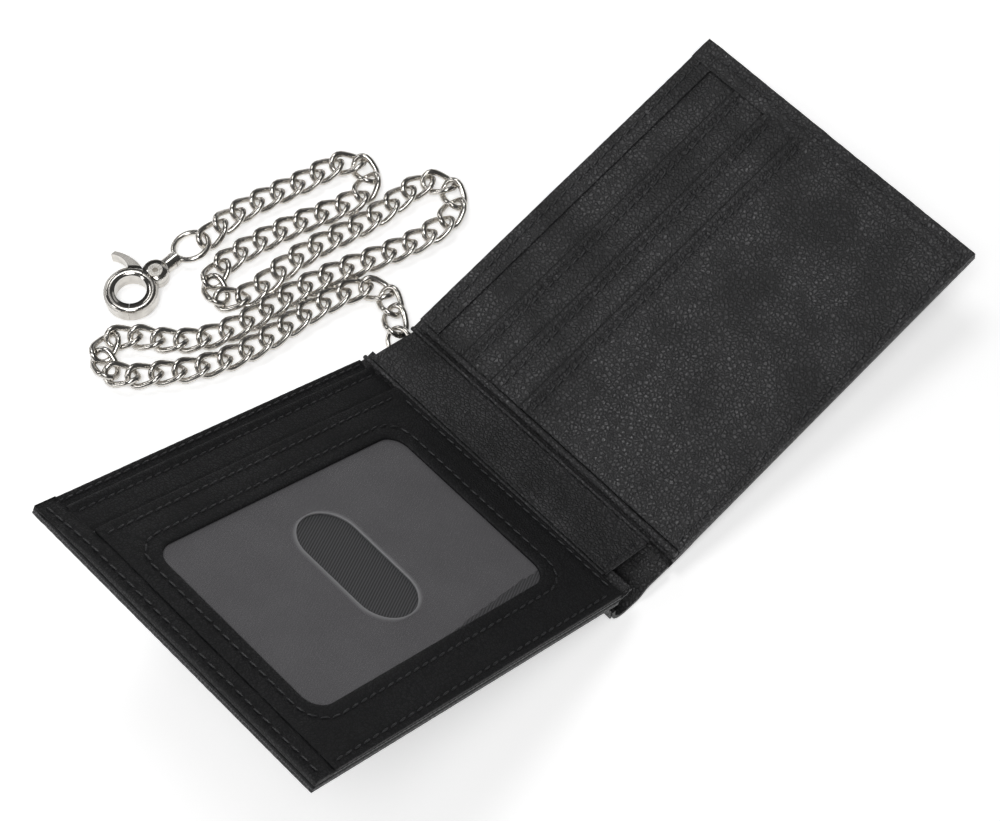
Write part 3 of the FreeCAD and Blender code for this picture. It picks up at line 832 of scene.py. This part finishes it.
def sew(seams: Sequence[tuple[Seam, Union[Panel, HoledPanel]]],
        gauge: float = 0.27) -> bmesh.types.BMesh:
    """Every stitch of some rows, as small rounded bars with a slight slant.

    Args:
        seams: each row with the panel that it lies on.
        gauge: half the thread's thickness.

    Returns:
        The stitches' mesh, in the leaf's frame.
    """
    bm = bmesh.new()
    for seam, panel in seams:
        for x, y, turn in seam.stitches():
            verts = bmesh.ops.create_uvsphere(bm, u_segments=6, v_segments=5,
                                              radius=1.0)["verts"]
            place = (Matrix.Translation((x, y, panel.rest(x, y)))
                     @ Matrix.Rotation(turn + STITCH_SLANT, 4, "Z") @ UPRIGHT
                     @ Matrix.Diagonal((gauge * 0.8, gauge, seam.pitch * 0.40, 1.0)))
            bmesh.ops.transform(bm, matrix=place, verts=verts)
    return bm


# ---- the sub-assemblies --------------------------------------------------------------

@dataclass(frozen=True)
class LeftLeaf:
    """The leaf with the identity window."""

    leaf: Leaf = Leaf("left_leaf", "left_fold", 29.4)
    hem: float = 6.0
    spine_end: float = 107.3
    frame_edge: float = 77.5
    slot_edge: float = 86.5
    window: Opening = Opening((14.0, 94.5), (13.7, 66.2), 5.0)
    slot: Opening = Opening((46.0, 62.5), (22.95, 56.95), 8.249)

    def rows(self) -> dict[str, Seam]:
        """The leaf's sewn rows."""
        return {
            "hem": Seam(((2.0, 88.6), (self.spine_end - 1.0, 88.6)), 2.9),
            "side": Seam(((2.2, 1.6), (2.2, 88.0)), 2.9),
            "slot": Seam(((7.5, 84.1), (self.spine_end - 1.5, 84.1)), 2.9),
            "frame": Seam(((7.5, 75.0), (self.spine_end - 3.2, 75.0)), 2.9),
            "window": Seam(self.window.outset(3.4), 2.9),
            "spine": Seam(((105.7, 3.5), (105.7, 74.0)), 2.9),
            "bottom": Seam(((7.5, 1.9), (104.0, 1.9)), 2.9),
        }

    def frame_lift(self, x: float, y: float) -> float:
        """The relief of the leather round the window.

        Args:
            x: the point's place along the leaf.
            y: its place towards the mouths of the pockets.

        Returns:
            The height over the flat frame, in millimetres.
        """
        rows = self.rows()
        high = 0.10 * wander(x, y, 22.0, 3.1) + 0.05 * wander(x, y, 3.0, 9.4)
        for name in ("frame", "window", "spine", "bottom"):
            high += rows[name].relief(x, y)
        return high - 0.16 * math.exp(-((self.window.away(x, y) / 0.8) ** 2))

    def film_lift(self, x: float, y: float) -> float:
        """The film's slack waves and the raised lip round its thumb slot.

        Args:
            x: the point's place along the leaf.
            y: its place towards the mouths of the pockets.

        Returns:
            The height over the flat film, in millimetres.
        """
        calm = min(1.0, max(0.0, -self.window.away(x, y)) / 6.0)
        waves = 0.20 * calm * wander(x, y * 1.3, 24.0, 5.5)
        return waves + 0.16 * math.exp(-((self.slot.away(x, y) / 0.6) ** 2))

    def build(self, shop: Workshop) -> None:
        """Builds and dresses the leaf's pieces.
        """
        place = self.leaf.matrix(shop)
        rows = self.rows()
        body, end = self.leaf.body, self.spine_end
        panels = [
            (Panel("left_shell", (0.0, end), (0.0, 90.0), -3.0, 1.0, seed=1.0, facing=-1,
                   waves=0.3, step=1.4, edge=0.4,
                   seams=(rows["hem"], rows["side"], rows["bottom"])),
             Finish.PEBBLED, "outer_shell_left"),
            (Panel("left_board", (0.0, end), (0.0, 90.0), -2.0, 0.7, (rows["hem"],),
                   seed=2.0, waves=0.12, step=0.9, rolls=(89.4,), behind=self.slot_edge,
                   creases=gap(0.0, end, self.slot_edge)),
             Finish.MATTE, "left_backing"),
            (Panel("left_pocket", (self.hem, end), (0.0, self.slot_edge), -1.4, 0.6,
                   (rows["slot"],), seed=4.0, waves=0.14, step=0.75,
                   rolls=(self.slot_edge - 0.8,), behind=self.frame_edge,
                   creases=gap(self.hem, end, self.frame_edge)),
             Finish.MATTE, "left_card_pocket"),
            (Panel("left_side_hem", (0.0, self.hem + 0.05), (0.0, 90.0), -0.12, 1.85,
                   (rows["side"],), seed=6.0, waves=0.1, wrinkle=0.16, step=0.7, edge=0.5,
                   creases=(((5.2, 0.0), (5.2, 90.0), 0.25),), taper=(74.0, 88.5, 1.55)),
             Finish.MATTE, "left_hem"),
        ]
        for panel, finish, node in panels:
            shop.piece(panel.name, panel.shape(), place, finish, body, [node])
        border = HoledPanel(
            "window_frame", Opening((self.hem + 0.1, end), (0.1, self.frame_edge), 0.8),
            self.window, 0.0, 0.8, 16, self.frame_lift, 0.3)
        shop.piece(border.name, border.shape(), place, Finish.MATTE, body, ["id_window_frame"])
        film = HoledPanel(
            "window_film", Opening((10.0, 98.5), (9.7, 70.2), 5.0), self.slot,
            -0.8, 0.28, 22, self.film_lift, 0.08)
        shop.piece(film.name, film.shape(), place, Finish.FILM, body, ["id_window_pane"])
        shell, board, pocket, side = (panel for panel, _, _ in panels)
        thread = sew([(rows["hem"], board), (rows["side"], side), (rows["slot"], pocket),
                      *((rows[name], border) for name in ("frame", "window", "spine", "bottom")),
                      *((rows[name], shell) for name in ("hem", "side", "bottom"))])
        shop.piece("left_stitches", thread, place, Finish.THREAD, body)
        for node in ("bill_lining_left", "id_pocket_lining"):
            shop.dress(node, Finish.TWILL)


@dataclass(frozen=True)
class RightLeaf:
    """The leaf with three stepped card pockets."""

    leaf: Leaf = Leaf("right_leaf", "right_fold", -9.9)
    outer: float = 102.0
    inner: float = 3.2
    edges: tuple[float, float, float] = (75.0, 64.7, 54.4)

    def build(self, shop: Workshop) -> None:
        """Builds and dresses the leaf's pieces.
        """
        place = self.leaf.matrix(shop)
        body = self.leaf.body
        top = Seam(((4.0, 87.3), (106.0, 87.3)), 2.9)
        side = Seam(((105.4, 2.0), (105.4, 86.5)), 2.9)
        low = Seam(((4.0, 1.8), (104.5, 1.8)), 2.9)
        rows = [Seam(((self.inner + 1.2, edge - 2.9), (self.outer - 1.0, edge - 2.9)), 2.9,
                     0.36, 0.26) for edge in self.edges]
        panels = [
            (Panel("right_shell", (0.7, 108.0), (0.0, 90.0), -3.0, 1.0, (top, side, low),
                   seed=21.0, facing=-1, waves=0.3, step=1.4, edge=0.4),
             "outer_shell_right"),
            (Panel("right_board", (0.7, 108.0), (0.0, 90.0), -1.8, 0.9, seed=22.0,
                   waves=0.12, step=0.8, behind=self.edges[0],
                   creases=gap(self.inner, self.outer, self.edges[0])),
             "right_backing"),
            (Panel("right_pocket_1", (self.inner, self.outer), (0.0, self.edges[0]), -1.2,
                   0.6, (rows[0],), seed=23.0, waves=0.12, step=0.6, wrinkle=0.07, drag=0.14,
                   rolls=(self.edges[0] - 0.8,), behind=self.edges[1],
                   creases=gap(self.inner, self.outer, self.edges[1])), "right_card_pocket_1"),
            (Panel("right_pocket_2", (self.inner, self.outer), (0.0, self.edges[1]), -0.6,
                   0.6, (rows[1],), seed=24.0, waves=0.12, step=0.6, wrinkle=0.07,
                   rolls=(self.edges[1] - 0.8,), behind=self.edges[2],
                   creases=gap(self.inner, self.outer, self.edges[2])), "right_card_pocket_2"),
            (Panel("right_pocket_3", (self.inner, self.outer), (0.0, self.edges[2]), 0.0,
                   0.6, (rows[2], low), seed=25.0, waves=0.3, step=0.6, wrinkle=0.08,
                   rolls=(self.edges[2] - 0.8,),
                   creases=(((4.0, 5.6), (101.0, 4.6), 0.14),)), "right_card_pocket_3"),
        ]
        for panel, node in panels:
            shop.piece(panel.name, panel.shape(), place, Finish.PEBBLED, body, [node])
        hems = [
            Panel("right_side_hem", (101.4, 108.0), (0.0, 90.0), -0.55, 1.25, (side,),
                  seed=26.0, waves=0.1, wrinkle=0.15, step=0.55, drag=0.14,
                  creases=(((102.6, 0.0), (102.6, 84.0), 0.2),)),
            Panel("right_top_hem", (self.inner, 101.9), (83.6, 90.0), -1.15, 0.65, (top,),
                  seed=27.0, waves=0.08, wrinkle=0.11, step=0.55, drag=0.1,
                  creases=(((3.0, 84.6), (102.0, 84.6), 0.15),)),
        ]
        for panel, nodes in zip(hems, (["right_hem"], [])):
            shop.piece(panel.name, panel.shape(), place, Finish.PEBBLED, body, nodes)
        shop.piece("right_piping", self.roll(), place, Finish.PEBBLED, body,
                   ["right_edge_piping"])
        shell, _, *pockets = (panel for panel, _ in panels)
        sewn = [(top, hems[1]), (side, hems[0]), (low, pockets[2]), *zip(rows, pockets),
                *((row, shell) for row in (top, side, low))]
        shop.piece("right_stitches", sew(sewn), place, Finish.THREAD, body)
        shop.dress("bill_lining_right", Finish.TWILL)

    def roll(self) -> bmesh.types.BMesh:
        """The rolled edge along the spine, with its small wrinkles."""
        return wrinkled_roll(0.95, 88.2, Matrix.Translation((2.1, 44.1, -0.5)) @ LAID, 31.0)


def wrinkled_roll(radius: float, long: float, place: Matrix, seed: float,
                  wrinkle: float = 0.09) -> bmesh.types.BMesh:
    """A leather roll with rounded ends and wrinkles across it.

    Args:
        radius: the roll's radius.
        long: its length, along its own Z axis.
        place: where its middle is.
        seed: which wrinkles it gets.
        wrinkle: how deep they are.

    Returns:
        The roll's mesh.
    """
    bm = bmesh.new()
    bmesh.ops.create_cone(bm, cap_ends=True, segments=20, radius1=radius, radius2=radius,
                          depth=long)
    rims = [edge for edge in bm.edges if len(edge.link_faces) == 2
            and any(len(face.verts) > 4 for face in edge.link_faces)]
    bmesh.ops.bevel(bm, geom=rims, offset=radius * 0.5, offset_type="OFFSET",
                    affect="EDGES", segments=3, profile=0.5, material=-1)
    lengths = [edge for edge in bm.edges
               if abs(edge.verts[0].co.z - edge.verts[1].co.z) > long / 2]
    bmesh.ops.subdivide_edges(bm, edges=lengths, cuts=110, use_grid_fill=True)
    for vert in bm.verts:
        ring = wander(vert.co.z, math.atan2(vert.co.y, vert.co.x) * 2, 1.6, seed)
        slow = wander(vert.co.z, 0.0, 11.0, seed + 3)
        swell = 1 + (wrinkle * ring + wrinkle * 0.6 * slow) / radius
        vert.co.x, vert.co.y = vert.co.x * swell, vert.co.y * swell
    bmesh.ops.transform(bm, matrix=place, verts=bm.verts)
    return bm


def drawn_out(bm: bmesh.types.BMesh, edges: list[bmesh.types.BMEdge],
              way: Sequence[float], steps: int) -> list[bmesh.types.BMEdge]:
    """Extrudes edges along a vector in even steps.

    Args:
        bm: the mesh.
        edges: the edges that are drawn out.
        way: how far they go, in all.
        steps: in how many steps.

    Returns:
        The edges at the far end.
    """
    for _ in range(steps):
        grown = bmesh.ops.extrude_edge_only(bm, edges=edges)["geom"]
        tips = {item for item in grown if isinstance(item, bmesh.types.BMVert)}
        bmesh.ops.translate(bm, vec=Vector(way) / steps, verts=list(tips))
        edges = [item for item in grown if isinstance(item, bmesh.types.BMEdge)
                 and tips.issuperset(item.verts)]
    return edges


@dataclass(frozen=True)
class Spine:
    """The strip between the leaves, the folds beside it, and the shell's bulge."""

    left_seam: Point = (-13.262, 12.0)
    right_seam: Point = (2.238, 6.6)
    low: float = -45.0
    high: float = 45.0
    fold_thick: float = 0.5
    roll_radius: float = 0.58
    roll_long: float = 82.4
    roll_middle: float = 3.4

    def build(self, shop: Workshop) -> None:
        """Builds and dresses the spine's pieces.
        """
        fall = math.atan2(self.left_seam[1] - self.right_seam[1],
                          self.right_seam[0] - self.left_seam[0])
        place = (shop.row @ Matrix.Translation((self.left_seam[0], self.low,
                                                self.left_seam[1]))
                 @ Matrix.Rotation(fall, 4, "Y"))
        edge = Seam(((1.6, 8.6), (14.6, 8.6)), 2.9)
        strip = Panel("spine_leather", (0.7, 15.75), (7.0, 88.2), 0.0, 0.8, (edge,),
                      seed=41.0, waves=0.16, wrinkle=0.08, step=0.6,
                      creases=(((1.7, 7.0), (1.7, 88.0), 0.22),))
        shop.piece(strip.name, strip.shape(), place, Finish.PEBBLED, "spine", ["spine_strip"])
        shop.piece("spine_stitches", sew([(edge, strip)]), place, Finish.THREAD, "spine")
        for side in ("left", "right"):
            spot = shop.joint(f"{side}_fold")
            centre = Matrix.Translation((spot.x / MM, self.roll_middle, spot.z / MM))
            roll = wrinkled_roll(self.roll_radius, self.roll_long, centre @ LAID, spot.x * 900,
                                 0.05)
            shop.piece(f"{side}_seam_roll", roll, shop.row, Finish.PEBBLED, "spine")
        shop.dress("outer_shell_spine", Finish.PEBBLED)
        shop.dress("bill_lining_spine", Finish.TWILL)
        for node in ("eyelet", "eyelet_washer"):
            shop.dress(node, Finish.NICKEL)
        self.folds(shop)

    def folds(self, shop: Workshop) -> None:
        """The outer leather's folds: sheets bent between the spine and each leaf, on no body.
        """
        left = [(-17.75, 3.4), (-17.85, 5.4), (-17.95, 7.2), (-18.6, 9.0), (-19.9, 10.5),
                (-22.0, 11.85), (-25.0, 13.55)]
        right = [(-3.0, 1.75), (-0.5, 1.95), (1.6, 2.1), (3.2, 2.15), (5.0, 2.4),
                 (7.5, 2.8), (10.5, 3.35)]
        spot = shop.joint("left_fold")
        web = [(spot.x / MM + x, spot.z / MM + z) for x, z in
               ((-3.4, 0.0), (-2.6, -0.5), (-1.6, -1.1), (-0.4, -1.6), (0.9, -1.7), (2.0, -1.5),
                (2.9, -1.3))]
        for name, leaf, path in (("left_shell_fold", "left_leaf", left),
                                 ("right_shell_fold", "right_leaf", right),
                                 ("left_seam_web", "left_leaf", web)):
            made = shop.piece(name, self.bent(path), shop.row, Finish.PEBBLED, "")
            start, end = path[1], path[-2]
            start[0] * MM
            start[1] * MM
            end[0] * MM
            end[1] * MM
            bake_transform(made)

    def bent(self, path: Sequence[Point]) -> bmesh.types.BMesh:
        """A thin sheet of leather bent along a profile in X and Z and drawn out along Y.

        Args:
            path: the profile, in X and Z.

        Returns:
            The sheet's closed mesh.
        """
        bm = bmesh.new()
        verts = [bm.verts.new((x, self.low + 0.3, z)) for x, z in path]
        edges = [bm.edges.new(pair) for pair in zip(verts, verts[1:])]
        bmesh.ops.subdivide_edges(bm, edges=edges, cuts=2, smooth=1.0)
        drawn_out(bm, list(bm.edges), (0, self.high - self.low - 0.6, 0), 40)
        bmesh.ops.recalc_face_normals(bm, faces=bm.faces)
        bmesh.ops.solidify(bm, geom=list(bm.faces), thickness=self.fold_thick)
        return bm


@dataclass(frozen=True)
class Chain:
    """A curb chain of twisted links along the CAD's route."""

    start: tuple = (1.2274, 1.895, 1.1855)
    end: tuple = (-15.1696, 55.9117, -0.5076)
    level: float = 2.8238
    start_lifts: tuple = (1.2, 0.4)
    end_lift: float = 1.3
    wire: float = 0.85
    width: float = 7.0
    inner: float = 6.8
    longest: float = 5.95
    twist: float = 43.0         # turn of each end of a link, degrees
    route: tuple[Point, ...] = (
        (5.1, 7.5), (7.9, 12.4), (5.1, 17.8), (-2.0, 20.4), (-10.5, 22.0), (-19.5, 22.9),
        (-28.5, 24.2), (-37.5, 27.2), (-45.0, 31.8), (-51.1, 36.6), (-56.7, 40.6),
        (-58.5, 46.2), (-55.1, 51.0), (-49.5, 51.0), (-45.5, 46.2), (-41.1, 39.8),
        (-34.1, 34.0), (-25.3, 30.8), (-16.1, 29.8), (-6.5, 28.2), (3.1, 25.4),
        (11.7, 21.8), (20.3, 18.8), (28.1, 16.8), (34.9, 16.8), (40.1, 19.6), (41.3, 25.0),
        (38.1, 29.8), (32.1, 30.6), (22.9, 30.4), (14.5, 31.8), (6.5, 34.2), (-1.9, 35.8),
        (-9.5, 36.0), (-16.9, 35.4), (-22.7, 37.4), (-24.9, 42.2), (-21.9, 46.8),
        (-16.1, 47.8), (-8.5, 46.6), (-0.5, 44.8), (7.5, 42.4), (15.1, 39.4), (21.1, 37.4),
        (26.9, 38.2), (29.9, 42.8), (28.3, 48.0), (23.1, 50.2), (16.5, 50.8), (10.1, 52.8),
        (3.1, 55.0), (-4.5, 56.6), (-10.5, 56.0))

    def line(self, ring: Vector) -> list[Vector]:
        """Points along the chain's smooth curve, in metres, from the jump ring to the snap.

        Args:
            ring: the jump ring's centre, which the route is measured from.

        Returns:
            The points.
        """
        lifts = self.start_lifts + (0.0,) * (len(self.route) - 3) + (self.end_lift,)
        over = self.level - ring.z / MM
        steps = [(x, y, over + lift) for (x, y), lift in zip(self.route, lifts)]
        spots = [ring + Vector(step) * MM for step in (self.start, *steps, self.end)]
        data = bpy.data.curves.new("chain_route", "CURVE")
        data.dimensions = "3D"
        data.resolution_u = 24
        spline = data.splines.new("NURBS")
        spline.points.add(len(spots) - 1)
        for point, spot in zip(spline.points, spots):
            point.co = (*spot, 1.0)
        spline.order_u = 3
        spline.use_endpoint_u = True
        holder = bpy.data.objects.new("chain_route", data)
        bpy.context.scene.collection.objects.link(holder)
        mesh = bpy.data.meshes.new_from_object(holder)
        line = [vert.co.copy() for vert in mesh.vertices]
        bpy.data.objects.remove(holder)
        bpy.data.curves.remove(data)
        bpy.data.meshes.remove(mesh)
        return line

    def march(self, line: Sequence[Vector], pitch: float, count: int) -> list[Vector]:
        """Points on the line, each one pitch in a straight line from the last.

        Args:
            line: the points of the line.
            pitch: the straight distance.
            count: how many steps at most.

        Returns:
            The points found.
        """
        points, at = [line[0]], 1
        while len(points) <= count and at < len(line):
            if (line[at] - points[-1]).length < pitch:
                at += 1
                continue
            low, high = line[at - 1], line[at]
            for _ in range(24):
                middle = (low + high) / 2
                near = (middle - points[-1]).length < pitch
                low, high = (middle, high) if near else (low, middle)
            points.append(low)
        return points

    def joints(self, line: Sequence[Vector]) -> list[Vector]:
        """Where each link meets the next, at the even pitch that fills the line.

        Args:
            line: the points of the chain's curve.

        Returns:
            The points where links meet.
        """
        longest = self.longest * MM
        count = math.ceil(sum((b - a).length for a, b in zip(line, line[1:])) / longest)
        low, high = 0.9 * longest, longest
        for _ in range(30):
            pitch = (low + high) / 2
            full = len(self.march(line, pitch, count)) > count
            low, high = (pitch, high) if full else (low, pitch)
        points = self.march(line, low, count)
        points[-1] = line[-1]
        return points

    def link(self) -> bmesh.types.BMesh:
        """One link: two half turns of wire joined by straight legs, then twisted."""
        bend = self.width / 2 - self.wire
        straight = self.inner / 2 + self.wire - bend
        bm = bmesh.new()
        ring = bmesh.ops.create_circle(bm, segments=9, radius=self.wire)["verts"]
        bmesh.ops.transform(bm, matrix=Matrix.Translation((straight, -bend, 0)) @ UPRIGHT,
                            verts=ring)
        edges = list(bm.edges)
        for side in (1, -1):
            turned = bmesh.ops.spin(bm, geom=edges, cent=(straight * side, 0, 0),
                                    axis=(0, 0, 1), angle=math.pi, steps=9,
                                    use_merge=False)["geom_last"]
            edges = [item for item in turned if isinstance(item, bmesh.types.BMEdge)]
            edges = drawn_out(bm, edges, (-2 * straight * side, 0, 0), 4)
        bmesh.ops.remove_doubles(bm, verts=bm.verts, dist=0.01)
        reach = self.inner / 2 + self.wire
        for vert in bm.verts:
            turn = math.radians(-self.twist * max(-1.0, min(1.0, vert.co.x / reach)))
            vert.co = Matrix.Rotation(turn, 3, "X") @ vert.co
        return bm

    def build(self, shop: Workshop) -> None:
        line = self.line(shop.joint("ring_turn"))
        points = self.joints(line)
        one = bpy.data.meshes.new("link")
        pattern = self.link()
        pattern.to_mesh(one)
        pattern.free()
        bm = bmesh.new()
        for near, far in zip(points, points[1:]):
            first = len(bm.verts)
            bm.from_mesh(one)
            bm.verts.ensure_lookup_table()
            along = (far - near).normalized()
            level = Vector((0, 0, 1)).cross(along).normalized()
            turn = Matrix((along, level, along.cross(level))).transposed().to_4x4()
            place = Matrix.Translation((near + far) / 2) @ turn @ Matrix.Scale(MM, 4)
            bmesh.ops.transform(bm, matrix=place, verts=bm.verts[first:])
        bpy.data.meshes.remove(one)
        runs = [f"chain_run_{number}" for number in range(1, 6)]
        chain = shop.piece("wallet_chain", bm, Matrix.Identity(4), Finish.NICKEL, "spine", runs)
        fittings = ["wallet_ring", "swivel_eye", "swivel_washer", "snap_body",
                    "trigger_lever", "trigger_rivet"]
        for node in fittings:
            cast = node in ("snap_body", "trigger_lever")
            shop.dress(node, Finish.CAST if cast else Finish.NICKEL)
        shop.dress("trigger_spring", Finish.STEEL)


@dataclass(frozen=True)
class Studio:
    """The table, the soft lights and the camera."""

    camera_spot: tuple = (-0.2137, -0.2076, 0.5933)
    camera_way: tuple = (0.325, 0.332, -0.886)
    lens: float = 97.2
    table: float = 6.0
    lamps: tuple = (            # name, spot in metres, size in metres, power in watts
        ("softbox", (0.10, 0.40, 1.15), (0.50, 0.36), 2.8),
        ("card", (0.55, 0.80, 1.50), (1.0, 0.8), 1.0),
        ("fill", (-0.55, -0.35, 1.40), (0.6, 0.6), 9.0),
        ("left", (-1.2, 0.55, 0.6), (0.3, 0.7), 2.4),
        ("low", (1.5, 0.50, 0.35), (1.0, 0.6), 0.8),
        ("back", (-0.1, 1.30, 0.7), (0.9, 0.15), 2.0))

    def build(self) -> None:
        """Builds the stage round the wallet."""
        camera = bpy.data.objects.new("camera", bpy.data.cameras.new("camera"))
        camera.location = self.camera_spot
        camera.rotation_euler = Vector(self.camera_way).to_track_quat("-Z", "Y").to_euler()
        camera.data.lens = self.lens
        camera.data.sensor_width = 36.0
        camera.data.clip_start, camera.data.clip_end = 0.01, 50.0
        bpy.context.scene.collection.objects.link(camera)
        bpy.context.scene.camera = camera
        bm = bmesh.new()
        bmesh.ops.create_grid(bm, x_segments=2, y_segments=2, size=self.table / 2)
        mesh = bpy.data.meshes.new("table_top")
        bm.to_mesh(mesh)
        bm.free()
        table = bpy.data.objects.new("table_top", mesh)
        table.location = (0.0, 0.0, -0.0002)
        mesh.materials.append(Finish.FLOOR.material)
        bpy.context.scene.collection.objects.link(table)
        for lamp in self.lamps:
            self.light(*lamp)
        world = bpy.data.worlds.new("studio")
        world.use_nodes = True
        backdrop = world.node_tree.nodes["Background"]
        backdrop.inputs["Color"].default_value = (1.0, 1.0, 1.0, 1.0)
        backdrop.inputs["Strength"].default_value = 0.06
        bpy.context.scene.world = world
        bpy.context.scene.view_settings.view_transform = "Standard"

    def light(self, name: str, spot: Sequence[float], size: Point, power: float) -> None:
        """Adds a soft box that faces the wallet.

        Args:
            name: the light's name.
            spot: where it stands, in metres.
            size: its width and height, in metres.
            power: its power, in watts.
        """
        data = bpy.data.lights.new(name, "AREA")
        data.shape = "RECTANGLE"
        data.energy, (data.size, data.size_y) = power, size
        lamp = bpy.data.objects.new(name, data)
        lamp.location = spot
        aim = Vector((0.0, 0.02, 0.0)) - Vector(spot)
        lamp.rotation_euler = aim.to_track_quat("-Z", "Y").to_euler()
        bpy.context.scene.collection.objects.link(lamp)


def main() -> None:
    """Builds the wallet round the CAD frame."""
    logging.basicConfig(level=logging.INFO, format="%(name)s: %(message)s")
    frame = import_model()
    shop = Workshop(frame)
    Studio().build()
    Chain().build(shop)
    LeftLeaf().build(shop)
    RightLeaf().build(shop)
    Spine().build(shop)


if __name__ == "__main__":
    main()
